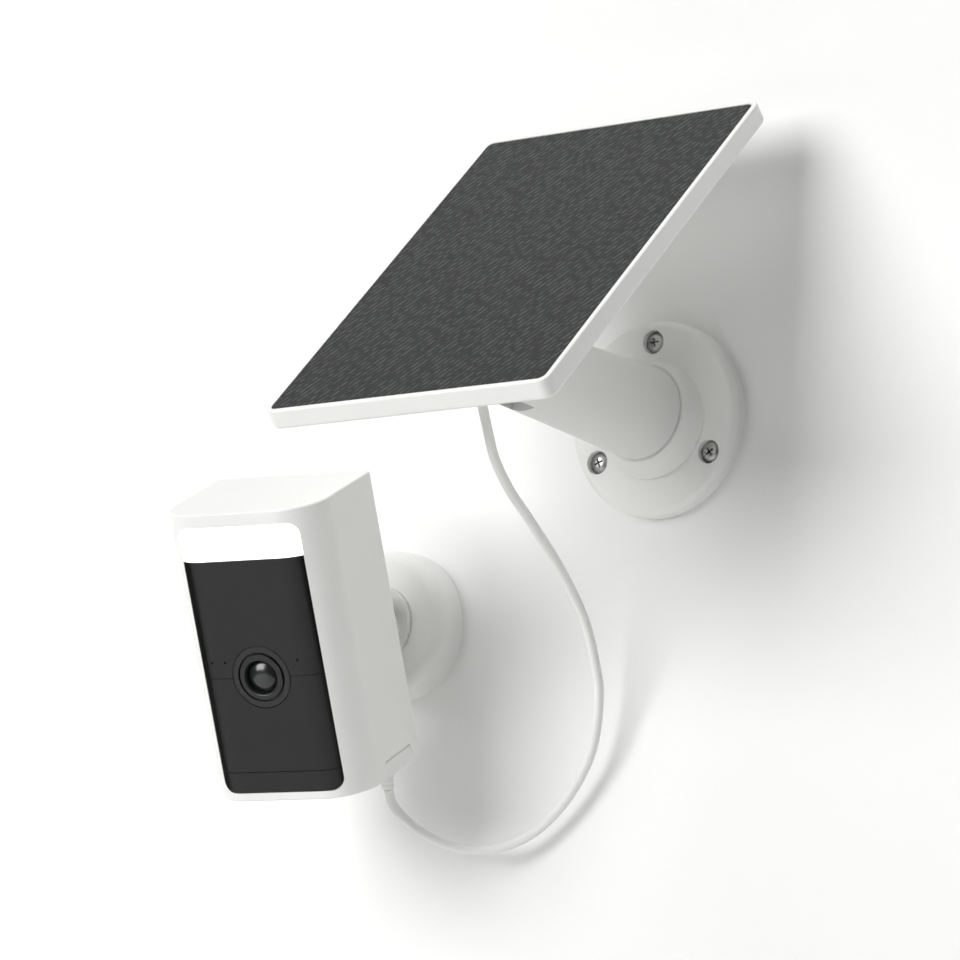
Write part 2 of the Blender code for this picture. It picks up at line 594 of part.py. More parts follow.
def rear_cover(camera_frame):
    x = BODY_HALF - BODY_WALL - 0.3 - GAP
    low, high = BODY_BOTTOM + BODY_WALL + GAP, BODY_TOP - BODY_WALL - GAP
    middle = (low + high) / 2
    outline = [(a, b + middle) for a, b in rounded_rectangle(2 * x, high - low, 1.0, 2)]
    panel = prism(outline, BODY_DEPTH - 2.6, BODY_DEPTH - 0.4, "Y")
    cover = piece("rear_cover", panel, "white_shell", camera_frame)
    cut(cover, helper(rod(5.4 + GAP, -BODY_DEPTH - 3, -40, 16), camera_frame, (0, 0, -LENS_UP)))
    for number, (place_x, place_z) in enumerate(COVER_SCREWS, 1):
        place = (place_x, 0, place_z)
        seat = -BODY_DEPTH + 1.4
        hole = [(0, -60), (3.0, -60), (3.0, seat), (1.4, seat), (1.4, -40), (0, -40)]
        cut(cover, helper(turned(hole, 12), camera_frame, place))
        screw = [(0, seat - 0.9), (2.6, seat - 0.9), (2.6, seat - GAP), (1.0, seat - GAP)]
        screw += [(1.0, seat + 4.6), (0, seat + 4.6)]
        piece(f"cover_screw_{number}", turned(screw, 12), "steel", camera_frame, place)


def port_flap(camera_frame):
    """A soft flap in the side wall; its rounded upper edge is its hinge."""
    radius = FLAP_T / 2
    axis_z = FLAP_Z[1] - GAP - radius
    empty = axis_empty("flap_axis", camera_frame, (BODY_HALF - radius, 0, axis_z))
    low = FLAP_Z[0] - axis_z
    section = [(-radius, low), (radius, low)] + arc((0, 0), radius, 0, 180, 8)
    flap = piece("port_flap", prism(section, FLAP_Y[0], FLAP_Y[1], "Y"), "rubber", empty)
    sides = [(y, z - axis_z) for y, z in flap_outline(GAP)]
    near, far = sides[1][0] + FLAP_EASE, sides[2][0] - FLAP_EASE
    sides = [(sides[0][0], low - 1), (near, radius + 1), (far, radius + 1), (sides[3][0], low - 1)]
    boolean(flap, helper(prism(sides, -3, 3, "X"), empty), "INTERSECT")


def press_buttons(camera_frame):
    floor = BODY_BOTTOM + BODY_WALL
    for name, (x, y) in BUTTONS.items():
        empty = axis_empty(name + "_axis", camera_frame, (x, y, floor))
        cap = [(0, -2.2), (2.5, -2.2), (BUTTON_R, -1.8), (BUTTON_R, GAP), (4.2, GAP), (4.2, 1.4), (0, 1.4)]
        piece(name, turned(cap, 14, "Z"), "rubber", empty)


# ---- cord ----


def smooth_route(points, step):
    """Points about step apart on the smooth curve through the route."""
    route = [Vector(p) for p in points]
    ends = [2 * route[0] - route[1]] + route + [2 * route[-1] - route[-2]]
    dense = []
    for a, b, c, d in zip(ends, ends[1:], ends[2:], ends[3:]):
        for i in range(20):
            t = i / 20
            tangent_b, tangent_c = (c - a) / 2, (d - b) / 2
            dense.append(
                (2 * t**3 - 3 * t**2 + 1) * b + (t**3 - 2 * t**2 + t) * tangent_b
                + (3 * t**2 - 2 * t**3) * c + (t**3 - t**2) * tangent_c
            )
    dense.append(route[-1])
    total = sum((q - p).length for p, q in zip(dense, dense[1:]))
    wanted = round(total / step)
    picked, walked, target = [dense[0]], 0.0, total / wanted
    for p, q in zip(dense, dense[1:]):
        walked += (q - p).length
        if walked >= target * len(picked) and len(picked) < wanted:
            picked.append(q)
    return picked + [dense[-1]]


def power_cord():
    route = smooth_route(CORD_ROUTE, CORD_STEP)
    data = bpy.data.curves.new("power_cord", "CURVE")
    data.dimensions = "3D"
    line = data.splines.new("POLY")
    line.points.add(len(route) - 1)
    for point, place in zip(line.points, route):
        point.co = (*(place * MM), 1)
    data.bevel_depth = CORD_R * MM
    data.bevel_resolution = 2
    data.use_fill_caps = True
    data.materials.append(finish("cord_jacket").copy())
    cord = bpy.data.objects.new("power_cord", data)
    bpy.context.scene.collection.objects.link(cord)


def camera_angles():
    """How far the turret, the knuckle and the stem turn to give the camera its yaw and pitch with no roll."""
    aim = Matrix.Rotation(radians(CAMERA_YAW), 3, "Z") @ Matrix.Rotation(radians(CAMERA_PITCH), 3, "X")
    out = aim @ Vector((0, -1, 0))
    turret_turn = -atan2(out.x, -out.z)
    knuckle_turn = acos(-out.y)
    held = Matrix.Rotation(turret_turn, 3, "Y") @ Matrix.Rotation(knuckle_turn, 3, "X")
    left = held.transposed() @ aim
    return [angle * 180 / pi for angle in (turret_turn, knuckle_turn, atan2(left[0][2], left[0][0]))]


def main():
    clear_scene()
    arm_axis = axis_empty("arm_axis", turn=(-ARM_RISE, 0, 0))
    panel_axis = axis_empty("panel_axis", arm_axis, (0, -ARM_REACH, 0), (ARM_RISE + PANEL_TILT, 0, 0))
    turret_turn, knuckle_turn, stem_turn = camera_angles()
    puck_axis = axis_empty("puck_axis", place=(PUCK_X, 0, PUCK_Z))
    turret_axis = axis_empty("turret_axis", puck_axis, turn=(0, turret_turn, 0))
    knuckle_axis = axis_empty("knuckle_axis", turret_axis, (0, -KNUCKLE_OUT, 0), (knuckle_turn, 0, 0))
    roll_axis = axis_empty("roll_axis", knuckle_axis, (0, -LENS_OUT, 0), (0, stem_turn, 0))
    camera_frame = axis_empty("camera_frame", roll_axis, (0, 0, LENS_UP))

    arm_base_plate(arm_axis)
    wall_screws()
    arm_tube(arm_axis)
    arm_hardware(arm_axis)
    panel_frame(panel_axis)
    solar_layers(panel_axis)
    panel_bracket(panel_axis)
    bracket_screws(panel_axis)
    cable_gland(panel_axis)
    camera_base(puck_axis)
    turret(turret_axis)
    stem(knuckle_axis)
    lock_ring(knuckle_axis)
    housing_shell(camera_frame)
    front_pieces(camera_frame)
    lens_pieces(camera_frame)
    boards(camera_frame)
    sensors(camera_frame)
    power_pieces(camera_frame)
    rear_cover(camera_frame)
    port_flap(camera_frame)
    press_buttons(camera_frame)
    power_cord()


main()
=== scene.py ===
"""Finer pieces, finishes, cord and stage for a wall camera with its own solar panel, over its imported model."""
import json
from contextlib import contextmanager
from math import acos, atan2, cos, radians, sin

import bmesh
import bpy
from mathutils import Matrix, Vector


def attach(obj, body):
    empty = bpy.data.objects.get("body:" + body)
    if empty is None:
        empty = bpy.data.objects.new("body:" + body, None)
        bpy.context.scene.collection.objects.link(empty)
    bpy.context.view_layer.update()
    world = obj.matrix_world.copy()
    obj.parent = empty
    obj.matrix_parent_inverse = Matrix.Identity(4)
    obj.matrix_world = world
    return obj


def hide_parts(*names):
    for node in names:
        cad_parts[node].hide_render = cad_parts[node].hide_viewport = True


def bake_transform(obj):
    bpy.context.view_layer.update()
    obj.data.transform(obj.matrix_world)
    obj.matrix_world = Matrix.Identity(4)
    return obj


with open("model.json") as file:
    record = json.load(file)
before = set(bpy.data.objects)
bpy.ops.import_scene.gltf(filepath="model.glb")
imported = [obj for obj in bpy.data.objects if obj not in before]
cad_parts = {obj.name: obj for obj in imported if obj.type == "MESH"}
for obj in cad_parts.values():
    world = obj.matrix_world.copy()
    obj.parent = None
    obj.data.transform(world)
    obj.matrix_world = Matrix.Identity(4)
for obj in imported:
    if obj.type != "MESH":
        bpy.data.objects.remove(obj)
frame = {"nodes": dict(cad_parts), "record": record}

bl_info = {
    "name": "Solar Wall Camera",
    "version": (1, 0, 0),
    "blender": (4, 5, 0),
    "location": "View3D > Sidebar > Solar Camera",
    "description": "Models and finishes a wall camera with a solar panel on a jointed arm",
    "category": "Object",
}

MM = 0.001
GAP = 0.3  # running clearance between pieces that move or slide, in millimetres
NEAR = 0.01  # how near, in millimetres, counts as the same place
WAVE_SCALE = 0.314159  # a wave texture's scale times its pitch, for one band in each pitch
HEXAGON = 1.732  # a hexagon's size across its flats, over its radius
MIX_A, MIX_B, MIX_RESULT = 6, 7, 2  # a Mix node's colour sockets

# The camera's body, in millimetres: half its width, its depth, its underside and its top.
BODY_HALF, BODY_DEPTH, BODY_LOW, BODY_HIGH = 31.5, 50.7, -46.2, 60.6
# The heights of the strip's joint, the trim's joint and the middle of the mount's insert.
STRIP_JOINT, TRIM_JOINT, INSERT_HEIGHT = 43.2, -35.3, -5.5
# The back of the panel's frame, over its tilt pivot, and the distance from the wall plate to that pivot.
PANEL_BACK, PIVOT_OUT = 16.9, 97.0
CORD_WIDE = 3.5
# How far the arm hangs from level, and the panel from flat, in degrees.
ARM_DROOP, PANEL_SLOPE = 4.3, 43.3

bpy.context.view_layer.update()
JOINTS = {joint["name"]: joint for joint in frame["record"]["behaviour"]["joints"]}


def at(x=0.0, y=0.0, z=0.0):
    """A shift, in millimetres."""
    return Matrix.Translation(Vector((x, y, z)) * MM)


def turn(angle, axis):
    """A rotation about the world's X, Y or Z, in degrees."""
    return Matrix.Rotation(radians(angle), 4, axis)


# Places, each a frame whose Z runs out along its piece's own axis.
OUT_OF_WALL = turn(90, "X")
ALONG_X = turn(90, "Y")
SKY = turn(PANEL_SLOPE, "X")
ARM = turn(90 - ARM_DROOP, "X")
PIVOT = Vector(JOINTS["panel_tilt"]["pos_m"])
PANEL = Matrix.Translation(PIVOT) @ SKY
BASE = Matrix.Translation(Vector(JOINTS["turret_swivel"]["pos_m"])) @ OUT_OF_WALL
KNUCKLE = Vector(JOINTS["camera_tilt"]["pos_m"])
LOOK = Vector(JOINTS["camera_roll"]["axis"])
UP = Vector(JOINTS["power_press"]["axis"])
YAW = Matrix.Rotation(-atan2(LOOK.x, -LOOK.z), 4, "Y")
TURRET = Matrix.Translation(BASE.translation) @ YAW @ OUT_OF_WALL
STEM = Matrix.Translation(KNUCKLE) @ YAW @ Matrix.Rotation(acos(-LOOK.y), 4, "X") @ OUT_OF_WALL
AIM = Matrix((UP.cross(LOOK), -LOOK, UP)).transposed().to_4x4()
CAMERA = Matrix.Translation(KNUCKLE + 0.0843 * LOOK + 0.0055 * UP) @ AIM
LENS = CAMERA @ OUT_OF_WALL

# The cord's route, from the panel's gland to the relief on its plug, in millimetres.
CORD_ROUTE = (
    (0, -115.2, -2.3), (0, -112.7, -5), (-0.1, -108.6, -10.6), (-0.4, -104.9, -18.5), (-2, -98.6, -27.1),
    (-3.9, -87.4, -36.1), (-6.9, -71, -44.7), (-11, -47.5, -58.2), (-13.2, -29.5, -74), (-15.3, -18.6, -90.9),
    (-17, -14.4, -102), (-22.5, -10.6, -119), (-33.5, -8.6, -134.5), (-46.6, -8.6, -145.9), (-58.4, -10.8, -151.8),
    (-68.9, -14.8, -153.7), (-77.7, -20.4, -152.4), (-86, -26.6, -147.8), (-91.1, -31.4, -142.4),
    (-93.6, -34.9, -137.6), (-93.7, -37.6, -132.4),
)
# Each stretch of cord, its length in millimetres and the bodies at its two ends. The last one takes what is left.
CORD_STRETCHES = (
    ("cord_at_panel", 35, "panel", "arm"),
    ("cord_under_arm", 40, "arm", "wall_mounts"),
    ("cord_by_wall", 84, "wall_mounts", "wall_mounts"),
    ("cord_in_loop", 36, "wall_mounts", "turret"),
    ("cord_rising", 35, "turret", "stem"),
    ("cord_at_camera", None, "stem", "camera"),
)


def linear(shade):
    """An sRGB hex colour as linear red, green, blue and alpha."""
    values = [int(shade[i : i + 2], 16) / 255 for i in (0, 2, 4)]
    return [v / 12.92 if v <= 0.04045 else ((v + 0.055) / 1.055) ** 2.4 for v in values] + [1.0]


def colour(name, shade, text):
    return bpy.props.FloatVectorProperty(
        name=name, description=text, subtype="COLOR", size=4, min=0, max=1, default=linear(shade)
    )


def length(name, millimetres, text):
    return bpy.props.FloatProperty(name=name, description=text, unit="LENGTH", default=millimetres * MM, min=0)


class SolarCameraColours(bpy.types.PropertyGroup):
    """Colours of the finishes."""

    shell: colour("Shell", "F2F2F0", "Moulded white plastic of the camera, its base and the panel's frame")
    arm: colour("Arm", "E4E4E2", "Moulded plastic of the panel's arm")
    window: colour("Window", "0C0D0D", "Gloss black front")
    bezel: colour("Bezel", "181919", "Black moulded rings round the lens")
    cells: colour("Cells", "121413", "Solar cells under their top sheet")
    threads: colour("Cell dashes", "454947", "Light dashes printed across the cells")
    jacket: colour("Cord", "ECECEA", "Cord, plug and reliefs")
    steel: colour("Steel", "B4B4B2", "Plated screws, bolts and stem")
    rubber: colour("Rubber", "F0F0EE", "Port flap and buttons")
    wall: colour("Wall", "F4F4F3", "Painted wall and floor of the stage")


class SolarCameraSizes(bpy.types.PropertyGroup):
    """Sizes that a user may want to change."""

    shell_edge: length("Shell edge", 0.8, "Rounding of the camera's top and bottom edges")
    frame_edge: length("Frame edge", 0.55, "Rounding of the solar panel's frame")
    window_seam: length("Window seam", 0.2, "Gap round the window and between its pieces")
    plate_edge: length("Plate edge", 2.6, "Rounding of the arm's wall plate")
    base_edge: length("Base edge", 4.5, "Rounding of the camera's wall base")
    lamp_glow: bpy.props.FloatProperty(
        name="Lamp glow", description="Strength of the lit strip", default=1.6, min=0
    )


def sizes():
    return bpy.context.scene.solar_camera_sizes


def shade(name):
    return getattr(bpy.context.scene.solar_camera_colours, name)


# ---- finishes ----


def add_node(material, kind, settings=(), links=(), into=None):
    """Adds a node, sets its properties or sockets, links outputs into its sockets, and itself into one."""
    node = material.node_tree.nodes.new("ShaderNode" + kind)
    for key, value in dict(settings).items():
        if isinstance(key, int) or key in node.inputs:
            node.inputs[key].default_value = value
        else:
            setattr(node, key, value)
    for key, output in dict(links).items():
        material.node_tree.links.new(output, node.inputs[key])
    if into is not None:
        material.node_tree.links.new(node.outputs[0], into)
    return node


def start_finish(name, base, roughness, metallic=0.0, **sockets):
    """A material with its Principled shader set, the shader, and the place of each point on the object."""
    material = bpy.data.materials.new(name)
    material.use_nodes = True
    shader = material.node_tree.nodes["Principled BSDF"]
    shader.inputs["Base Color"].default_value = base
    shader.inputs["Roughness"].default_value = roughness
    shader.inputs["Metallic"].default_value = metallic
    for key, value in sockets.items():
        shader.inputs[key.replace("_", " ")].default_value = value
    return material, shader, add_node(material, "TexCoord").outputs["Object"]


def textured(name, base, roughness, sheen=None, relief=None, metallic=0.0, **sockets):
    """A finish whose sheen varies over the piece, given as (size in millimetres, detail, lowest and highest
    roughness), and whose skin has a fine relief, given as (size, detail, strength, depth)."""
    material, shader, place = start_finish(name, base, roughness, metallic, **sockets)
    if sheen:
        size, detail, low, high = sheen
        cloud = add_node(material, "TexNoise", {"Scale": 1 / (size * MM), "Detail": detail}, {"Vector": place})
        spread = {"To Min": low, "To Max": high}
        add_node(material, "MapRange", spread, {"Value": cloud.outputs["Fac"]}, shader.inputs["Roughness"])
    if relief:
        size, detail, strength, depth = relief
        grain = add_node(material, "TexNoise", {"Scale": 1 / (size * MM), "Detail": detail}, {"Vector": place})
        height = {"Strength": strength, "Distance": depth * MM}
        add_node(material, "Bump", height, {"Height": grain.outputs["Fac"]}, shader.inputs["Normal"])
    return material, shader, place


def moulded(name, base, roughness, grain=0.45, depth=0.006, mottle=0.018):
    """Injection-moulded plastic from a spark-eroded tool: a fine even grain, in millimetres, that spreads its
    highlights, and a slow unevenness in its sheen and its tone."""
    sheen, relief = (28, 2.0, roughness - 0.05, roughness + 0.05), (grain, 2.0, 0.5, depth)
    material, shader, place = textured(name, base, roughness, sheen, relief)
    slow = add_node(material, "TexNoise", {"Scale": 1 / (28 * MM), "Detail": 2.0}, {"Vector": place})
    darker = [c * (1 - mottle * 2) for c in base[:3]] + [1]
    tones = {"data_type": "RGBA", MIX_A: base, MIX_B: darker}
    tone = add_node(material, "Mix", tones, {0: slow.outputs["Fac"]})
    material.node_tree.links.new(tone.outputs[MIX_RESULT], shader.inputs["Base Color"])
    return material


def gloss_black(name, base, roughness=0.16):
    """Polished black polycarbonate: deep and wet-looking, with a faint haze from handling in its reflections."""
    return textured(name, base, roughness, (16, 4.0, roughness - 0.04, roughness + 0.1), IOR=1.45)[0]


def solar_laminate():
    """Printed silicon cells under a satin top sheet: short light dashes at sixty degrees across the panel, broken
    up at random, fainter along the gap between one column of cells and the next."""
    dash_pitch, column_half = 2.4 * MM, 9.65 * MM
    material, shader, place = start_finish("laminated_solar_cells", shade("cells"), 0.42, Specular_IOR_Level=0.22)
    flat = add_node(
        material, "Mapping", {"vector_type": "TEXTURE", "Location": PIVOT, "Rotation": SKY.to_euler()},
        {"Vector": place},
    ).outputs[0]
    slanted = add_node(material, "Mapping", {"Rotation": (0, 0, radians(30))}, {"Vector": flat}).outputs[0]
    lines = add_node(
        material, "TexWave",
        {"wave_type": "BANDS", "bands_direction": "X", "Scale": WAVE_SCALE / dash_pitch}, {"Vector": slanted},
    )
    stretched = add_node(material, "Mapping", {"Scale": (1.0, 0.55, 1.0)}, {"Vector": slanted}).outputs[0]
    broken = add_node(material, "TexNoise", {"Scale": 1 / (1.5 * MM), "Detail": 0.0}, {"Vector": stretched})
    breaks = add_node(
        material, "MapRange", {"From Min": 0.38, "From Max": 0.62}, {"Value": broken.outputs["Fac"]}
    )
    dashes = add_node(
        material, "MapRange", {"From Min": 0.35, "From Max": 1.0}, {"Value": lines.outputs["Fac"]}
    )
    dash = add_node(
        material, "Math", {"operation": "MULTIPLY"}, {0: dashes.outputs[0], 1: breaks.outputs[0]}
    ).outputs[0]
    across = add_node(material, "SeparateXYZ", links={"Vector": flat}).outputs["X"]
    column = add_node(material, "Math", {"operation": "PINGPONG", 1: column_half}, {0: across}).outputs[0]
    edge = add_node(
        material, "MapRange", {"From Min": 0.2 * MM, "From Max": 1.3 * MM, "To Min": 0.45}, {"Value": column}
    ).outputs[0]
    patch = add_node(material, "Math", {"operation": "MULTIPLY"}, {0: dash, 1: edge}).outputs[0]
    wobble = add_node(material, "TexNoise", {"Scale": 1 / (3.2 * MM), "Detail": 1.0}, {"Vector": flat})
    uneven = add_node(
        material, "MapRange", {"To Min": 0.55, "To Max": 1.25}, {"Value": wobble.outputs["Fac"]}
    ).outputs[0]
    print_left = add_node(material, "Math", {"operation": "MULTIPLY"}, {0: patch, 1: uneven}).outputs[0]
    tone = add_node(
        material, "Mix", {"data_type": "RGBA", MIX_A: shade("cells"), MIX_B: shade("threads")},
        {0: print_left},
    )
    material.node_tree.links.new(tone.outputs[MIX_RESULT], shader.inputs["Base Color"])
    add_node(
        material, "MapRange", {"To Min": 0.46, "To Max": 0.34}, {"Value": dash}, shader.inputs["Roughness"]
    )
    add_node(
        material, "Bump", {"Strength": 0.35, "Distance": 0.03 * MM}, {"Height": dash},
        shader.inputs["Normal"],
    )
    return material


def plated_steel():
    """Cold-formed steel under bright zinc: a grey metal with fine turning marks and a slightly cloudy sheen."""
    sheen, relief = (2.5, 2.0, 0.26, 0.44), (0.25, 3.0, 0.25, 0.01)
    return textured("zinc_plated_steel", shade("steel"), 0.34, sheen, relief, metallic=1.0)[0]


def lit_diffuser():
    """Opal acrylic over lamps that are on: an even white glow with a glossy skin."""
    glow = {"Emission_Color": linear("FFFFFF"), "Emission_Strength": sizes().lamp_glow}
    return textured("lit_opal_acrylic", linear("FCFCFA"), 0.3, (9, 2.0, 0.25, 0.38), **glow)[0]


def coated_glass():
    """A polished lens with a dark multilayer coating: black at a glance, with a soft sheen."""
    coat = {"Coat_Weight": 0.25, "Coat_Roughness": 0.12, "IOR": 1.62}
    return textured("coated_lens_glass", linear("1B1D1D"), 0.24, (3, 2.0, 0.2, 0.28), **coat)[0]


def solder_mask():
    """Green solder mask over etched copper: straight tracks show as slightly lighter lines."""
    material, shader, place = start_finish("green_solder_mask", linear("1F4D33"), 0.35, Coat_Weight=0.4)
    tracks = {"Color1": linear("1F4D33"), "Color2": linear("235438"), "Mortar": linear("3B7A4E")}
    add_node(
        material, "TexBrick", {"Scale": 1 / (4 * MM), "Mortar Size": 0.06, **tracks}, {"Vector": place},
        shader.inputs["Base Color"],
    )
    return material


def shrink_sleeve():
    """Heat-shrunk blue film round a cell: glossy, with soft ripples where it tightened."""
    ripples = (6, 2.0, 0.4, 0.2)
    return textured("heat_shrunk_film", linear("3D6FA8"), 0.3, relief=ripples, Coat_Weight=0.5)[0]


def turned_brass():
    """Free-cutting brass from the lathe: warm yellow metal with fine rings."""
    return textured("turned_brass", linear("C6A65C"), 0.28, (0.4, 2.0, 0.2, 0.4), metallic=1.0)[0]


def painted_wall():
    """Matt emulsion on plaster: nearly white, with a faint roller texture. It is clear from behind, so that the
    object's back can be looked at through it."""
    material, shader, place = textured("matt_emulsion", shade("wall"), 0.9, relief=(2.2, 3.0, 0.05, 0.05))
    clear = add_node(material, "BsdfTransparent").outputs[0]
    behind = add_node(material, "NewGeometry").outputs["Backfacing"]
    reach = add_node(material, "LightPath").outputs["Ray Length"]
    near = add_node(material, "Math", {"operation": "LESS_THAN", 1: 0.8 * MM}, {0: reach}).outputs[0]
    either = add_node(material, "Math", {"operation": "MAXIMUM"}, {0: behind, 1: near}).outputs[0]
    surface = material.node_tree.nodes["Material Output"].inputs["Surface"]
    add_node(
        material, "MixShader", links={0: either, 1: shader.outputs[0], 2: clear}, into=surface
    )
    return material


# The name that each piece asks for, and the real finish behind it.
FINISHES = {
    # Housing, base and wall plate.
    "white_abs": lambda: moulded("moulded_white_abs", shade("shell"), 0.46),
    # The solar panel's frame.
    "frame_abs": lambda: moulded("satin_white_abs", shade("shell"), 0.4, grain=0.6),
    # The arm, the bracket and the turret.
    "arm_asa": lambda: moulded("moulded_pale_asa", shade("arm"), 0.48, grain=0.5),
    # Rings and plates that slide or are hidden.
    "acetal": lambda: moulded("natural_acetal", linear("D2D1CB"), 0.4, grain=0.9),
    "window": lambda: gloss_black("gloss_black_polycarbonate", shade("window")),
    "bezel": lambda: moulded("moulded_black_polycarbonate", shade("bezel"), 0.36, grain=0.3),
    "black": lambda: moulded("moulded_black_nylon", linear("242525"), 0.5, grain=0.5),
    "diffuser": lit_diffuser,
    "solar": solar_laminate,
    "steel": plated_steel,
    # The cord, its plug and its reliefs: a matt, very slightly waxy skin.
    "jacket": lambda: moulded("extruded_elastomer", shade("jacket"), 0.56, grain=0.3, depth=0.01, mottle=0.03),
    "glass": coated_glass,
    # The port's flap and the buttons.
    "rubber": lambda: moulded("moulded_silicone_rubber", shade("rubber"), 0.62, grain=0.7),
    "board": solder_mask,
    "sleeve": shrink_sleeve,
    "brass": turned_brass,
    "wall": painted_wall,
}
MADE = {}


def finish(name):
    """The named finish, made the first time that it is asked for."""
    if name not in MADE:
        MADE[name] = FINISHES[name]()
    return MADE[name]


# ---- modelling by hand ----


def only(piece):
    """Makes this piece the only one selected."""
    bpy.ops.object.select_all(action="DESELECT")
    piece.select_set(True)
    bpy.context.view_layer.objects.active = piece


@contextmanager
def editing(piece, kind="FACE", select="DESELECT"):
    """Edit mode on this piece, with nothing selected, or everything."""
    only(piece)
    bpy.ops.object.mode_set(mode="EDIT")
    bpy.ops.mesh.select_mode(type=kind)
    bpy.ops.mesh.select_all(action=select)
    yield
    bpy.ops.object.mode_set(mode="OBJECT")


def pick(piece, test, kind="faces"):
    """Selects the faces or edges that pass the test."""
    mesh = bmesh.from_edit_mesh(piece.data)
    found = [part for part in getattr(mesh, kind) if test(part)]
    if not found:
        raise RuntimeError(f"{piece.name}: nothing to select")
    for part in found:
        part.select_set(True)
    mesh.select_flush_mode()
    bmesh.update_edit_mesh(piece.data)


def flat_at(axis, place):
    """A test for the faces or edges that lie flat at this place along an axis, in millimetres."""
    return lambda part: all(abs(v.co[axis] / MM - place) < NEAR for v in part.verts)


def edges_along(axis, test=lambda middle: True):
    """A test for the edges that run along an axis and whose middle, in millimetres, passes."""

    def passes(edge):
        run = (edge.verts[0].co - edge.verts[1].co) / MM
        middle = (edge.verts[0].co + edge.verts[1].co) / 2 / MM
        others = [i for i in range(3) if i != axis]
        return abs(run[axis]) > 0.5 and all(abs(run[i]) < NEAR for i in others) and test(middle)

    return passes


def added(name):
    """Names the shape that was just added, and puts its origin at the world's."""
    piece = bpy.context.object
    piece.name = name
    bpy.ops.object.transform_apply(location=True, rotation=True, scale=True)
    return piece


def slab(name, low, high):
    """A block between two corners, in millimetres."""
    size = [(h - l) * MM for l, h in zip(low, high)]
    middle = [(h + l) / 2 * MM for l, h in zip(low, high)]
    bpy.ops.mesh.primitive_cube_add(size=1, location=middle, scale=size)
    return added(name)


def rounded(piece, axis, radius, segments=12, test=lambda middle: True):
    """Rounds the block's edges that run along an axis."""
    with editing(piece, "EDGE"):
        pick(piece, edges_along(axis, test), "edges")
        bpy.ops.mesh.bevel(offset=radius * MM, segments=segments, affect="EDGES", clamp_overlap=True)
    return piece


def tapered(piece, height, grow, middle=0.0):
    """Scales the faces at one height across X and Y, about a middle along Y, in millimetres."""
    with editing(piece):
        pick(piece, flat_at(2, height))
        bpy.ops.transform.resize(value=(*grow, 1), center_override=(0, middle * MM, height * MM))
    return piece


def softened(piece, axis, place, width, segments):
    """Rounds the edges that lie flat at one place along an axis."""
    with editing(piece, "EDGE"):
        pick(piece, flat_at(axis, place), "edges")
        bpy.ops.mesh.bevel(offset=width * MM, segments=segments, affect="EDGES")
    return piece


def turned(name, profile, sides=96):
    """A round piece along Z, drawn out of a disc ring by ring. The profile is (radius, height), in millimetres;
    a last radius of 0 closes it to a point."""
    (radius, height), *rings = profile
    start = (0, 0, height * MM)
    bpy.ops.mesh.primitive_circle_add(vertices=sides, radius=radius * MM, fill_type="NGON", location=start)
    piece = added(name)
    with editing(piece, select="SELECT"):
        for wider, higher in rings:
            bpy.ops.mesh.extrude_region_move(TRANSFORM_OT_translate={"value": (0, 0, (higher - height) * MM)})
            if wider == 0:
                bpy.ops.mesh.merge(type="CENTER")
                break
            grow = wider / radius
            bpy.ops.transform.resize(value=(grow, grow, 1), center_override=(0, 0, higher * MM))
            radius, height = wider, higher
        bpy.ops.mesh.select_all(action="SELECT")
        bpy.ops.mesh.normals_make_consistent(inside=False)
    return piece


def bend(radius, centre, start, end, steps=10):
    """Points on an arc of a turned profile, in millimetres; angles in degrees, 0 outwards and 90 up."""
    angles = [radians(start + (end - start) * i / steps) for i in range(steps + 1)]
    return [(centre[0] + radius * cos(a), centre[1] + radius * sin(a)) for a in angles]


def applied(piece, kind, **settings):
    """Adds a modifier, sets it and applies it."""
    only(piece)
    step = piece.modifiers.new(kind.title(), kind)
    for name, value in settings.items():
        setattr(step, name, value)
    bpy.ops.object.modifier_apply(modifier=step.name)
    return piece


def eased(piece, width, segments=3, angle=35):
    """Breaks every sharp edge with a small rounding."""
    return applied(
        piece, "BEVEL", width=width * MM, segments=segments, limit_method="ANGLE", angle_limit=radians(angle),
        use_clamp_overlap=True,
    )


def dropped(scrap, piece=None):
    """Removes a piece that only helped to shape another, and gives the other back."""
    bpy.data.objects.remove(scrap, do_unlink=True)
    return piece


def combined(piece, other, operation):
    """Applies a Boolean between two pieces, and removes the other one."""
    applied(piece, "BOOLEAN", operation=operation, solver="EXACT", object=other)
    if not piece.data.polygons:
        raise RuntimeError(f"{piece.name}: the Boolean left nothing")
    return dropped(other, piece)


def cut(piece, *others):
    for other in others:
        combined(piece, other, "DIFFERENCE")
    return piece


def joined(piece, *others):
    for other in others:
        combined(piece, other, "UNION")
    return piece


def sliced(piece, height, keep_low):
    """Keeps what is below or above a level cut, and closes it."""
    with editing(piece, select="SELECT"):
        bpy.ops.mesh.bisect(
            plane_co=(0, 0, height * MM),
            plane_no=(0, 0, 1),
            use_fill=True,
            clear_outer=keep_low,
            clear_inner=not keep_low,
        )
    return piece


def copied(piece, name):
    """A copy with a mesh of its own."""
    only(piece)
    bpy.ops.object.duplicate(linked=False)
    copy = bpy.context.object
    copy.name = name
    return copy


def moved(piece, place):
    """Takes a piece from the place it was modelled at to its place on the object."""
    piece.matrix_world = place
    only(piece)
    bpy.ops.object.transform_apply(location=True, rotation=True, scale=True)
    return piece


def shifted(piece, x=0.0, y=0.0, z=0.0):
    return moved(piece, at(x, y, z))


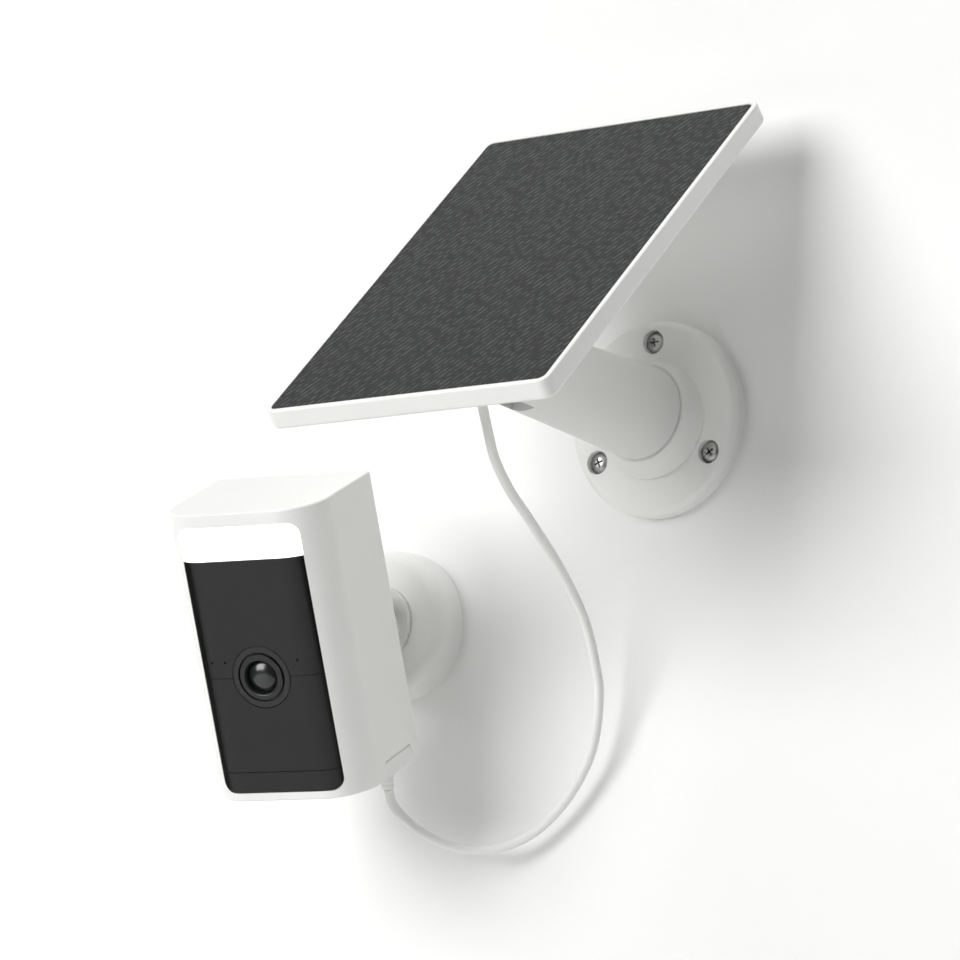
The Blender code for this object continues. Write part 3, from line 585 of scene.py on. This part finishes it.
def done(piece, material, body, nodes, angle=32):
    """Finishes a piece: smooth shading, its finish, the body it rides on and the frame's nodes it stands for. A
    stretch of cord that bends between two bodies comes with no body."""
    only(piece)
    bpy.ops.object.shade_smooth_by_angle(angle=radians(angle))
    applied(piece, "WEIGHTED_NORMAL", keep_sharp=True)
    piece.data.materials.clear()
    piece.data.materials.append(finish(material))
    if body:
        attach(piece, body)
    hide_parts(*nodes)
    return piece


def repaint(nodes, material):
    """Gives frame nodes that keep their own shape a better finish."""
    for name in nodes:
        node = frame["nodes"][name]
        node.data.materials.clear()
        node.data.materials.append(finish(material))


def cross_recess(reach, half, low, high):
    """The cutter for a cross recess, along Z."""
    one = slab("recess", (-reach, -half, low), (reach, half, high))
    other = slab("recess_across", (-half, -reach, low), (half, reach, high))
    cutter = joined(one, other)
    return tapered(cutter, low, (0.55, 0.55))


def cross_screw(name, head, seat, crown, shank, tip):
    """A cross-head screw along Z: a washer face at seat, a crowned head above it and a plain shank down to tip."""
    top = seat + crown
    profile = [(shank * 0.5, tip), (shank, tip + 0.8), (shank, seat), (head - 0.15, seat), (head, seat + 0.15)]
    domed = ((1, 0.45), (0.97, 0.56), (0.86, 0.74), (0.68, 0.88), (0.45, 0.97), (0.2, 1))
    profile += [(head * across, seat + crown * up) for across, up in domed]
    screw = turned(name, profile, 48)
    return cut(screw, cross_recess(0.56 * head, 0.115 * head, top - 0.62 * crown, top + 1))


def hexagon(name, across, low, high):
    """A six-sided prism along Z, measured across its flats."""
    middle = (0, 0, (low + high) / 2 * MM)
    bpy.ops.mesh.primitive_cylinder_add(
        vertices=6, radius=across / HEXAGON * MM, depth=(high - low) * MM, location=middle
    )
    return added(name)


def bolt_and_nut(names, nodes, rings, key, nut, place, body):
    """Models a socket-head bolt along X, and the nut on its far end. The key and the nut are each given as a size
    across flats and two heights, in millimetres."""
    bolt = cut(turned(names[0], rings, 48), hexagon("key", *key))
    done(moved(bolt, place @ ALONG_X), "steel", body, nodes[:1])
    thread = turned("thread", [(2.15, nut[1] - 2), (2.15, nut[2] + 2)], 40)
    piece = cut(eased(hexagon(names[1], *nut), 0.25), thread)
    done(moved(piece, place @ ALONG_X), "steel", body, nodes[1:])


def screw_heads(pattern, places, body, node):
    """Puts a copy of the pattern at each place, numbered as the frame's screws are, and removes the pattern."""
    name = pattern.name
    for number, place in enumerate(places, 1):
        one = copied(pattern, f"{name}_head_{number}")
        done(moved(one, place), "steel", body, [f"{node}_{number}"])
    dropped(pattern)


# ---- cord ----


def smooth_route(points, step):
    """Marks about a step apart on the smooth curve through the points: how far along, and where, in metres."""
    route = [Vector(p) * MM for p in points]
    ends = [2 * route[0] - route[1]] + route + [2 * route[-1] - route[-2]]
    dense = []
    for a, b, c, d in zip(ends, ends[1:], ends[2:], ends[3:]):
        for i in range(40):
            t = i / 40
            leave, arrive = (c - a) / 2, (d - b) / 2
            dense.append(
                (2 * t**3 - 3 * t**2 + 1) * b + (t**3 - 2 * t**2 + t) * leave
                + (3 * t**2 - 2 * t**3) * c + (t**3 - t**2) * arrive
            )
    dense.append(route[-1])
    walked, marks = 0.0, [(0.0, dense[0])]
    for p, q in zip(dense, dense[1:]):
        walked += (q - p).length
        if walked - marks[-1][0] >= step:
            marks.append((walked, q))
    marks.append((walked, dense[-1]))
    return marks


def cord_tube(name, path):
    """A round tube of the cord's own size along a path."""
    data = bpy.data.curves.new(name, "CURVE")
    data.dimensions = "3D"
    line = data.splines.new("POLY")
    line.points.add(len(path) - 1)
    for point, place in zip(line.points, path):
        point.co = (*place, 1)
    data.bevel_depth = CORD_WIDE / 2 * MM
    data.bevel_resolution = 6
    data.use_fill_caps = True
    tube = bpy.data.objects.new(name, data)
    bpy.context.scene.collection.objects.link(tube)
    only(tube)
    bpy.ops.object.convert(target="MESH")
    tube = bpy.context.object
    with editing(tube, "VERT", "SELECT"):
        bpy.ops.mesh.remove_doubles(threshold=1e-6)
        bpy.ops.mesh.normals_make_consistent(inside=False)
    return tube


class SOLARCAM_OT_cord(bpy.types.Operator):
    """Models the cord from the panel's gland to the camera's plug, in stretches that each ride on one body, or on
    none where their two ends are on two bodies
    """

    bl_idname = "solarcam.cord"
    bl_label = "Cord"

    def execute(self, context):
        marks = smooth_route(CORD_ROUTE, 1.3 * MM)
        start = 0.0
        for name, run, before, after in CORD_STRETCHES:
            last = run is None
            end = marks[-1][0] if last else start + run * MM
            path = [place for walked, place in marks if start - 1e-9 <= walked <= end + 0.7 * MM]
            tube = cord_tube(name, path)
            done(tube, "jacket", before if before == after else None, ["power_cord"], angle=60)
            if before != after:
                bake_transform(tube)
            start = [walked for walked, place in marks if place == path[-1]][0]
        return {"FINISHED"}


class SOLARCAM_OT_cord_ends(bpy.types.Operator):
    """Models the gland on the panel, and the plug and its tapered relief under the camera"""

    bl_idname = "solarcam.cord_ends"
    bl_label = "Cord ends"

    def execute(self, context):
        back = PANEL_BACK
        gland = [(2.2, back + 1.4), (2.2, back - GAP), (4.2, back - GAP), (4.2, back - 1.6), (3.9, back - 2.0)]
        gland += [(3.1, back - 2.4), (3.0, back - 2.9)]
        for step in range(5):
            top, wide = back - 3.2 - 1.45 * step, 2.95 - 0.17 * step
            gland += [(wide - 0.35, top), (wide - 0.35, top - 0.45), (wide, top - 0.6), (wide - 0.04, top - 1.3)]
        gland += [(2.0, 6.0)]
        done(moved(turned("panel_gland", gland[::-1], 48), PANEL @ at(0, -20)),
             "jacket", "panel", ["cable_gland"])
        port = CAMERA @ at(20, 41)
        plug = [(3.5, -48.6), (3.9, -48.5), (4.25, -48.0), (4.3, -47.4), (4.3, -33.5), (4.1, -33.3), (1.7, -33.3)]
        plug += [(1.7, -26.4), (1.5, -26.2)]
        done(moved(turned("cord_plug_body", plug, 64), port), "jacket", "camera", ["cord_plug"])
        relief = [(1.9, -56.4), (2.1, -56.2)]
        for step in range(4):
            low, wide = -55.8 + 1.7 * step, 2.25 + 0.24 * step
            relief += [(wide, low), (wide + 0.08, low + 0.9), (wide - 0.25, low + 1.05), (wide - 0.25, low + 1.5)]
        relief += [(3.15, -49.05), (3.0, -48.9)]
        done(moved(turned("cord_plug_relief", relief, 48), port), "jacket", "camera", ["cord_relief"])
        return {"FINISHED"}


# ---- solar panel ----


class SOLARCAM_OT_panel(bpy.types.Operator):
    """Models the solar panel's frame and finishes its cells"""

    bl_idname = "solarcam.panel"
    bl_label = "Solar panel"

    def execute(self, context):
        back, front = PANEL_BACK, PANEL_BACK + 7.5
        wide, tall, up = 60, 87.3, 30.5  # half the frame's width and length, and its middle from the pivot
        tray = slab("panel_frame_moulding", (-wide, up - tall, back), (wide, up + tall, front))
        rounded(tray, 2, 4.6)
        softened(tray, 2, front, sizes().frame_edge / MM, 5)
        softened(tray, 2, back, 1.3, 6)
        for name, rim, low, high, radius, segments in (
            ("well", 2, front - 1.8, front + 1, 2.6, 8), ("lower_well", 5, back + 1.8, front - 1, 2.0, 6)
        ):
            corners = (rim - wide, up + rim - tall, low), (wide - rim, up + tall - rim, high)
            cut(tray, rounded(slab(name, *corners), 2, radius, segments))
        step = rounded(slab("step", (-50, up - 77, back - 1), (50, up + 77, back + 0.5)), 2, 3.0, 8)
        land = rounded(slab("land", (-19, -25, back - 2), (19, 16, back + 1.2)), 2, 3.0, 8)
        cut(tray, cut(step, land))
        done(moved(tray, PANEL), "frame_abs", "panel", ["panel_frame"])
        repaint(["solar_glass", "solar_cells"], "solar")
        return {"FINISHED"}


class SOLARCAM_OT_panel_bracket(bpy.types.Operator):
    """Models the bracket behind the panel, with its two screws"""

    bl_idname = "solarcam.panel_bracket"
    bl_label = "Panel bracket"

    def execute(self, context):
        back = PANEL_BACK
        flange = rounded(slab("tilt_bracket", (-16, -15, 14.7), (16, 15, back - GAP)), 2, 3.0)
        tongue = slab("tongue", (-4.2, -10, -10), (4.2, 10, back - 1))
        rounded(tongue, 0, 9.99, 20, lambda middle: middle.z < 0)
        rib = slab("rib", (-11, -1.3, 6.5), (11, 1.3, back - 1))
        rounded(rib, 1, 6.0, 10, lambda middle: middle.z < 8)
        joined(flange, tongue, rib)
        eased(flange, 0.35)
        cut(flange, moved(turned("eye", [(2.3, -12), (2.3, 12)], 40), ALONG_X))
        for x in (-11.5, 11.5):
            hole = turned("hole", [(2.3, 10), (2.3, 14.0), (2.3, 15.3), (1.2, 15.9), (1.2, 20)], 32)
            cut(flange, shifted(hole, x, 9))
        done(moved(flange, PANEL), "arm_asa", "panel", ["panel_bracket"])
        screw = moved(cross_screw("bracket_screw", 2.1, 0, 1.5, 0.9, -4.6), turn(180, "X"))
        screw_heads(screw, [PANEL @ at(x, 9, 15) for x in (-11.5, 11.5)], "panel", "bracket_screw")
        return {"FINISHED"}


# ---- arm and its wall plate ----


class SOLARCAM_OT_arm(bpy.types.Operator):
    """Models the round arm with its slotted, domed end, and the pivot bolt and nut through it"""

    bl_idname = "solarcam.arm"
    bl_label = "Arm"

    def execute(self, context):
        profile = [(16.9, 14.35), (17.05, 14.3), (17.25, 14.5), (17.25, 15.6)]
        profile += bend(14.4, (0, PIVOT_OUT), 0, 84, 22)
        profile += [(0, PIVOT_OUT + 14.4)]
        arm = turned("panel_arm", profile, 128)
        bore = [(16.85, 13.0), (16.85, 15.6), (12.2, 15.6), (12.2, 31.8), (2.2, 31.9), (2.2, 35.4), (10.4, 35.5)]
        bore += [(10.4, 78.0), (7.5, 85.0), (7.4, 86.0)]
        cut(arm, turned("bore", bore), slab("slot", (-4.7, -20, 84.5), (4.7, 20, 120)))
        pivot = at(z=PIVOT_OUT)
        for side in (-1, 1):
            seat = turned("seat", [(5.2, side * 9.6), (5.2, side * 20)], 48)
            cut(arm, moved(seat, pivot @ ALONG_X))
        cut(arm, moved(turned("pivot_hole", [(2.3, -20), (2.3, 20)], 40), pivot @ ALONG_X))
        eased(arm, 0.3, angle=50)
        done(moved(arm, ARM), "arm_asa", "arm", ["arm_tube"])
        rings = [(1.6, -13.0), (2.0, -12.5), (2.0, 9.9), (3.9, 9.9), (4.1, 10.1), (4.1, 12.4)]
        rings += [(3.9, 12.8), (3.4, 13.0)]
        bolt_and_nut(
            ("pivot_bolt", "pivot_nut"), ["tilt_bolt", "tilt_nut"], rings, (4.0, 11.0, 14.0), (7.1, -12.6, -9.9),
            ARM @ pivot, "arm",
        )
        return {"FINISHED"}


class SOLARCAM_OT_wall_plate(bpy.types.Operator):
    """Models the arm's round wall plate, its hub and its three wall screws"""

    bl_idname = "solarcam.wall_plate"
    bl_label = "Wall plate"

    def execute(self, context):
        edge, droop = sizes().plate_edge / MM, turn(-ARM_DROOP, "X")
        rim = [(34.9, 0.0), (35.2, 0.05), (35.2, 0.55), (35.75, 0.75)]
        rim += bend(edge, (35.8 - edge, 6.7 - edge), 0, 90, 12)
        plate = turned("wall_plate", rim + [(22.0, 6.75), (12.0, 6.8)], 160)
        hub = [(19.0, 3.0), (22.4, 3.4)] + bend(7.2, (25.4, 13.4), 180, 248, 14)[::-1]
        hub += [(18.2, 13.8), (17.9, 14.0), (11.9, 14.0), (11.9, 31.0)]
        joined(plate, moved(turned("hub", hub, 128), droop))
        cut(plate, moved(turned("screw_hole", [(2.1, 16), (2.1, 32)], 40), droop))
        places = [turn(angle, "Z") @ Vector((28.0, 0, 0)) for angle in (90, 210, 330)]
        for place in places:
            hole = turned("recess", [(2.4, -1), (2.4, 3.2), (4.2, 3.2), (4.2, 6.2), (4.5, 6.75), (4.8, 8)], 64)
            cut(plate, shifted(hole, place.x, place.y))
        done(moved(plate, OUT_OF_WALL), "white_abs", "wall_mounts", ["arm_base_plate"])
        screw = cross_screw("wall_screw", 3.75, 3.5, 2.5, 2.0, 0.4)
        seats = [OUT_OF_WALL @ at(*place) @ turn(angle, "Z") for place, angle in zip(places, (6, 20, 34))]
        screw_heads(screw, seats, "wall_mounts", "wall_screw")
        repaint(["arm_friction_ring"], "acetal")
        repaint(["arm_retaining_screw", "arm_retaining_washer"], "steel")
        return {"FINISHED"}


# ---- camera's wall base and swivel ----


class SOLARCAM_OT_camera_base(bpy.types.Operator):
    """Models the camera's round wall base"""

    bl_idname = "solarcam.camera_base"
    bl_label = "Camera base"

    def execute(self, context):
        edge = sizes().base_edge / MM
        outside = [(27.2, 0.0), (27.5, 0.1), (27.5, 0.5), (27.9, 0.7)]
        outside += bend(edge, (27.9 - edge, 13.5 - edge), 0, 90, 14)
        outside += [(15.0, 13.55), (8.6, 13.5), (8.3, 13.2), (8.3, 11.0)]
        shell = turned("camera_base_cover", outside, 144)
        hollow = turned("hollow", [(25.7, -1), (25.7, 9.0), (23.4, 11.3), (8.3, 11.3), (8.3, 12)])
        cut(shell, hollow)
        done(moved(shell, BASE), "white_abs", "wall_mounts", ["camera_base_shell"])
        repaint(["camera_base_plate"], "acetal")
        repaint(["camera_base_screw_1", "camera_base_screw_2", "turret_clip"], "steel")
        return {"FINISHED"}


class SOLARCAM_OT_swivel(bpy.types.Operator):
    """Models the swivel turret with its two ears, and the bolt and nut through them"""

    bl_idname = "solarcam.swivel"
    bl_label = "Swivel turret"

    def execute(self, context):
        front, out = 13.8, 22.8  # the turret's underside and its tilt bolt, from the wall
        cup = [(8.0, 7.2), (8.0, front), (14.0, front), (14.0, front + 1.0)]
        cup += [(13.8, front + 1.5), (13.3, front + 1.8)]
        turret = turned("swivel_cup", cup)
        for side in (-1, 1):
            low, high = sorted((side * 4.2, side * 8.2))
            ear = slab("ear", (low, -6.8, front + 1.0), (high, 6.8, out + 6.8))
            rounded(ear, 0, 6.79, 20, lambda middle: middle.z > out)
            joined(turret, ear)
        eased(turret, 0.3)
        pivot = at(z=out)
        cut(turret, moved(turned("pivot_hole", [(2.3, -12), (2.3, 12)], 40), pivot @ ALONG_X))
        done(moved(turret, TURRET), "arm_asa", "turret", ["swivel_turret"])
        rings = [(1.6, -11.6), (2.0, -11.2), (2.0, 8.5), (3.7, 8.5), (3.9, 8.7), (3.9, 10.6)]
        rings += [(3.7, 11.0), (3.2, 11.2)]
        bolt_and_nut(
            ("knuckle_bolt_head", "knuckle_nut_hex"), ["knuckle_bolt", "knuckle_nut"], rings, (3.8, 9.4, 13.0),
            (6.75, -11.0, -8.5), TURRET @ pivot, "turret",
        )
        return {"FINISHED"}


class SOLARCAM_OT_stem(bpy.types.Operator):
    """Models the stem that screws into the camera, and its knurled lock ring"""

    bl_idname = "solarcam.stem"
    bl_label = "Stem and lock ring"

    def execute(self, context):
        rings = [(3.4, 4.5), (3.6, 5.0), (3.6, 7.6), (4.6, 8.6), (4.6, 13.0), (6.2, 16.0), (6.2, 19.0)]
        shank = turned("stem_shank", rings + [(3.0, 19.0), (3.0, 39.5), (2.5, 40.1)], 64)
        eye = slab("eye", (-3.8, -6.6, -6.6), (3.8, 6.6, 9.0))
        rounded(eye, 0, 6.59, 20, lambda middle: middle.z < 0)
        joined(eye, shank)
        eased(eye, 0.3)
        cut(eye, moved(turned("eye_hole", [(2.3, -8), (2.3, 8)], 40), ALONG_X))
        eye.name = "camera_stem_rod"
        done(moved(eye, STEM), "steel", "stem", ["camera_stem"])
        low, high, flutes = 19.3, 33.3, 24
        knob = turned("lock_ring_knob", [(9.6, low), (10.4, low + 0.7), (10.4, high - 0.7), (9.6, high)])
        groove = shifted(turned("groove", [(0.9, low - 1), (0.9, high + 1)], 12), 10.95)
        for step in range(flutes):
            cut(knob, moved(copied(groove, "groove_cut"), turn(360 / flutes * step, "Z")))
        dropped(groove)
        cut(knob, turned("hole", [(3.3, low - 1), (3.3, high + 1)], 48))
        done(moved(knob, STEM), "black", "lock_ring", ["lock_ring"])
        return {"FINISHED"}


# ---- camera ----


def camera_block(name, inset=0.0, low=BODY_LOW, high=BODY_HIGH, segments=28):
    """The camera's body: wide curves at the two front corners, small ones at the back."""
    half = BODY_HALF - inset
    block = slab(name, (-half, inset, low), (half, BODY_DEPTH - inset, high))
    rounded(block, 2, 16.0 - inset, segments, lambda middle: middle.y < 10)
    rounded(block, 2, max(3.5 - inset, 0.8), 8, lambda middle: middle.y > 40)
    return block


def front_prism(name, grow, low=-3.0, high=9.0):
    """The window's rounded outline, pushed through the front."""
    half = 24.21424 + grow
    prism = slab(name, (-half, low, -43.1 - grow), (half, high, 55.6 + grow))
    return rounded(prism, 1, 4.5 + grow, 16)


class SOLARCAM_OT_housing(bpy.types.Operator):
    """Models the camera's white housing with its openings"""

    bl_idname = "solarcam.housing"
    bl_label = "Housing"

    def execute(self, context):
        shell = camera_block("camera_housing")
        for end in (BODY_LOW, BODY_HIGH):
            softened(shell, 2, end, sizes().shell_edge / MM, 5)
        softened(shell, 1, BODY_DEPTH, 0.6, 4)
        wall = 2.0
        floor, ceiling = BODY_LOW + wall, BODY_HIGH - wall
        cut(shell, camera_block("cavity", wall, floor, ceiling, 16))
        cut(shell, rounded(slab("back_opening", (-29.2, 42.7, floor), (29.2, 54.7, ceiling)), 1, 1.0, 4))
        cut(shell, front_prism("front_opening", 0.0))
        door = tapered(slab("flap_door", (29.4, 18.8, -47.2), (33.5, 44.4, -39.8)), -39.8, (1, 0.789), 31.6)
        cut(shell, door, shifted(turned("port_hole", [(5.2, -48.2), (5.2, -42.2)], 64), 20, 41))
        for x in (-20, -7):
            cut(shell, shifted(turned("button_hole", [(3.2, -48.2), (3.2, -42.2)], 48), x, 38))
        done(moved(shell, CAMERA), "white_abs", "camera", ["housing_shell"], angle=30)
        return {"FINISHED"}


class SOLARCAM_OT_front(bpy.types.Operator):
    """Models the black window, the lit strip above it and the trim below it"""

    bl_idname = "solarcam.front"
    bl_label = "Front"

    def execute(self, context):
        seam = sizes().window_seam / MM
        band = camera_block("window_band", 0.0, -44.5, 57.0, 40)
        cut(band, camera_block("band_inside", 1.8, -50, 65, 40))
        combined(band, front_prism("band_outline", -seam), "INTERSECT")
        pieces = (
            ("lit_strip", "diffuser", STRIP_JOINT + seam / 2, None, "spotlight_lens"),
            ("window_upper", "window", 0.06, STRIP_JOINT - seam / 2, "front_window"),
            ("window_lower", "window", TRIM_JOINT + seam / 2, -0.06, "front_window"),
            ("plain_trim", "window", None, TRIM_JOINT - seam / 2, "lower_trim"),
        )
        for name, material, low, high, node in pieces:
            part = copied(band, name)
            if low is not None:
                sliced(part, low, keep_low=False)
            if high is not None:
                sliced(part, high, keep_low=True)
            if node == "front_window":
                cut(part, moved(turned("ring_hole", [(11.52, -6), (11.52, 6)], 96), OUT_OF_WALL))
            if name == "window_upper":
                for x in (-19.0, -13.6, 15.6):
                    dot = turned("pinhole", [(0.42, -6), (0.42, 6)], 20)
                    cut(part, moved(dot, at(x, 0, 5.85) @ OUT_OF_WALL))
            eased(part, 0.1, 2, 50)
            done(moved(part, CAMERA), material, "camera", [node])
        dropped(band)
        return {"FINISHED"}


class SOLARCAM_OT_lens(bpy.types.Operator):
    """Models the two rings round the lens, the lens and its barrel"""

    bl_idname = "solarcam.lens"
    bl_label = "Lens"

    def execute(self, context):
        ring = [(11.38, -6.0), (11.38, -0.12), (11.2, 0.06), (9.25, 0.1), (9.05, -0.1), (9.0, -0.9), (8.55, -0.9)]
        ring += [(8.5, 0.1), (8.3, 0.35), (6.7, 0.62), (6.45, 0.5), (6.2, 0.1), (5.9, -1.2), (5.75, -5.5)]
        done(moved(turned("lens_rings", ring, 128), LENS), "bezel", "camera", ["lens_bezel"])
        dome = [(5.55, -3.2), (5.55, -1.6)] + bend(8.2, (0, -7.3), 43, 86, 14) + [(0, 0.9)]
        done(moved(turned("lens_dome", dome, 96), LENS), "glass", "camera", ["lens_glass"])
        barrel = [(8.3, -19.0), (8.5, -18.7), (8.5, -11.0), (6.0, -6.8), (5.2, -6.2), (4.0, -6.1)]
        done(moved(turned("lens_tube", barrel, 64), LENS), "black", "camera", ["lens_barrel"])
        return {"FINISHED"}


class SOLARCAM_OT_rear(bpy.types.Operator):
    """Models the rear cover and its four screws"""

    bl_idname = "solarcam.rear"
    bl_label = "Rear cover"

    def execute(self, context):
        back = BODY_DEPTH - 0.4
        cover = rounded(slab("rear_lid", (-28.9, back - 2.2, -43.9), (28.9, back, 58.3)), 1, 1.0, 5)
        softened(cover, 1, back, 0.4, 4)
        middle = at(z=INSERT_HEIGHT) @ OUT_OF_WALL
        cut(cover, moved(turned("seat", [(13.5, -50.0), (13.5, -60)]), middle))
        cut(cover, moved(turned("insert_hole", [(5.7, -60), (5.7, -40)], 64), middle))
        places = ((-25.0, 52.5), (25.0, 52.5), (-11.0, -37.0), (11.0, -37.0))
        for x, z in places:
            hole = turned("hole", [(3.2, -60), (3.0, -50.1), (3.0, -49.3), (1.4, -49.3), (1.4, -40)], 40)
            cut(cover, moved(hole, at(x, 0, z) @ OUT_OF_WALL))
        done(moved(cover, CAMERA), "white_abs", "camera", ["rear_cover"])
        screw = moved(cross_screw("cover_screw", 2.55, 0, 0.65, 1.0, -4.6), turn(-90, "X"))
        screw_heads(screw, [CAMERA @ at(x, 49.6, z) for x, z in places], "camera", "cover_screw")
        return {"FINISHED"}


class SOLARCAM_OT_flap_and_buttons(bpy.types.Operator):
    """Models the port's flap and the two buttons under the camera"""

    bl_idname = "solarcam.flap_and_buttons"
    bl_label = "Flap and buttons"

    def execute(self, context):
        top = -40.0
        flap = slab("charging_flap", (29.8, 19.0, BODY_LOW), (BODY_HALF, 44.2, top))
        tapered(flap, top, (1, 0.782), 31.6)
        with editing(flap, "EDGE"):
            at_top = flat_at(2, top)
            pick(flap, lambda edge: at_top(edge) and edge.calc_length() > 10 * MM, "edges")
            bpy.ops.mesh.bevel(offset=0.84 * MM, segments=6, affect="EDGES")
        eased(flap, 0.15, 2, 60)
        done(moved(flap, CAMERA), "rubber", "port_flap", ["port_flap"])
        for name, x in (("power_button", -20), ("sync_button", -7)):
            cap = [(2.3, -46.4), (2.6, -46.35), (2.85, -46.1), (2.9, -45.7), (2.9, -43.9)]
            cap += [(4.2, -43.9), (4.2, -42.8), (4.0, -42.8)]
            button = shifted(turned(f"{name}_cap", cap, 48), x, 38)
            done(moved(button, CAMERA), "rubber", name, [name])
        return {"FINISHED"}


class SOLARCAM_OT_inner_pieces(bpy.types.Operator):
    """Finishes the pieces inside the housing, which keep their own shapes"""

    bl_idname = "solarcam.inner_pieces"
    bl_label = "Inner pieces"

    def execute(self, context):
        repaint(["sensor_board", "main_board", "spotlight_board", "charge_board"], "board")
        repaint(["battery_cell_left", "battery_cell_right"], "sleeve")
        repaint(["mount_insert"], "brass")
        repaint(["motion_sensor", "microphone"], "steel")
        repaint(["speaker", "charge_port"], "black")
        repaint(["spotlight_led_left", "spotlight_led_right"], "diffuser")
        return {"FINISHED"}


# ---- stage ----


def soft_light(name, place, target, size, watts):
    """A large soft lamp at a place, in metres, that faces a target."""
    data = bpy.data.lights.new(name, "AREA")
    data.shape = "RECTANGLE"
    data.size, data.size_y = size
    data.energy = watts
    lamp = bpy.data.objects.new(name, data)
    bpy.context.scene.collection.objects.link(lamp)
    lamp.location = place
    lamp.rotation_euler = (Vector(target) - Vector(place)).to_track_quat("-Z", "Y").to_euler()


class SOLARCAM_OT_stage(bpy.types.Operator):
    """Sets up the camera, the wall and floor, and the lights"""

    bl_idname = "solarcam.stage"
    bl_label = "Stage"

    def execute(self, context):
        scene = context.scene
        data = bpy.data.cameras.new("view")
        data.sensor_width = 36
        data.lens = 174.709
        data.clip_start, data.clip_end = 0.05, 20
        view = bpy.data.objects.new("view", data)
        scene.collection.objects.link(view)
        right = Vector((0.80091756, 0.59862336, 0.01345857))
        up = Vector((0.08057344, -0.13001978, 0.98823215))
        facing = Matrix((right, up, right.cross(up))).transposed().to_4x4()
        view.matrix_world = Matrix.Translation((0.94404, -1.36727, -0.27836)) @ facing
        scene.camera = view

        place = (-0.8, 0.0004, 0.45)  # just behind the wall plane, so that the two mounts cover it
        bpy.ops.mesh.primitive_plane_add(size=1, location=place, rotation=(radians(90), 0, 0))
        context.object.scale = (3.4, 3.1, 1)
        wall = added("wall_and_floor")
        with editing(wall, "EDGE"):
            pick(wall, lambda e: all(v.co.z < -1.0 for v in e.verts), "edges")
            bpy.ops.mesh.extrude_region_move(TRANSFORM_OT_translate={"value": (0, -3.5, 0)})
            bpy.ops.mesh.select_all(action="DESELECT")
            pick(wall, lambda e: all(v.co.z < -1.0 and v.co.y > -0.01 for v in e.verts), "edges")
            bpy.ops.mesh.bevel(offset=0.25, segments=16, affect="EDGES")
            bpy.ops.mesh.select_all(action="SELECT")
            bpy.ops.mesh.normals_make_consistent(inside=False)
        only(wall)
        bpy.ops.object.shade_smooth()
        wall.data.materials.append(finish("wall"))
        if wall.data.polygons[0].normal.y > 0:
            with editing(wall, select="SELECT"):
                bpy.ops.mesh.flip_normals()

        aim = (-0.03, -0.06, 0.0)
        soft_light("key_light", (-0.95, -3.2, 0.9), aim, (2.5, 1.9), 104)
        soft_light("top_light", (-0.4, -1.2, 3.2), aim, (2.0, 1.6), 30)
        soft_light("side_fill", (2.2, -0.7, 0.3), aim, (0.8, 0.8), 4.5)
        soft_light("back_light", (-0.6, 1.8, 1.2), aim, (1.4, 1.4), 30)
        world = bpy.data.worlds.new("studio")
        world.use_nodes = True
        dim = world.node_tree.nodes["Background"]
        dim.inputs["Color"].default_value = linear("F3F4F5")
        dim.inputs["Strength"].default_value = 0.07
        pale = add_node(world, "Background", {"Color": linear("EDEEEE"), "Strength": 0.9})
        seen = add_node(world, "LightPath").outputs["Is Camera Ray"]
        both = add_node(world, "MixShader", {}, {0: seen, 1: dim.outputs[0], 2: pale.outputs[0]})
        world.node_tree.links.new(both.outputs[0], world.node_tree.nodes["World Output"].inputs["Surface"])
        scene.world = world
        scene.view_settings.view_transform = "Standard"
        scene.view_settings.look = "None"
        return {"FINISHED"}


OPERATORS = (
    SOLARCAM_OT_stage,
    SOLARCAM_OT_cord_ends,
    SOLARCAM_OT_cord,
    SOLARCAM_OT_housing,
    SOLARCAM_OT_front,
    SOLARCAM_OT_lens,
    SOLARCAM_OT_rear,
    SOLARCAM_OT_flap_and_buttons,
    SOLARCAM_OT_inner_pieces,
    SOLARCAM_OT_panel,
    SOLARCAM_OT_panel_bracket,
    SOLARCAM_OT_arm,
    SOLARCAM_OT_wall_plate,
    SOLARCAM_OT_camera_base,
    SOLARCAM_OT_swivel,
    SOLARCAM_OT_stem,
)


class SOLARCAM_PT_pieces(bpy.types.Panel):
    """Lists the sizes, the colours and the steps"""

    bl_idname = "SOLARCAM_PT_pieces"
    bl_label = "Solar wall camera"
    bl_space_type = "VIEW_3D"
    bl_region_type = "UI"
    bl_category = "Solar Camera"

    def draw(self, context):
        for group in (context.scene.solar_camera_sizes, context.scene.solar_camera_colours):
            box = self.layout.box()
            for name in group.__annotations__:
                box.prop(group, name)
        for operator in OPERATORS:
            self.layout.operator(operator.bl_idname)


CLASSES = (SolarCameraColours, SolarCameraSizes, *OPERATORS, SOLARCAM_PT_pieces)


def register():
    for cls in CLASSES:
        bpy.utils.register_class(cls)
    bpy.types.Scene.solar_camera_colours = bpy.props.PointerProperty(type=SolarCameraColours)
    bpy.types.Scene.solar_camera_sizes = bpy.props.PointerProperty(type=SolarCameraSizes)


def unregister():
    del bpy.types.Scene.solar_camera_sizes
    del bpy.types.Scene.solar_camera_colours
    for cls in reversed(CLASSES):
        bpy.utils.unregister_class(cls)


def main():
    register()
    for operator in OPERATORS:
        group, name = operator.bl_idname.split(".")
        getattr(getattr(bpy.ops, group), name)()


if __name__ == "__main__":
    main()
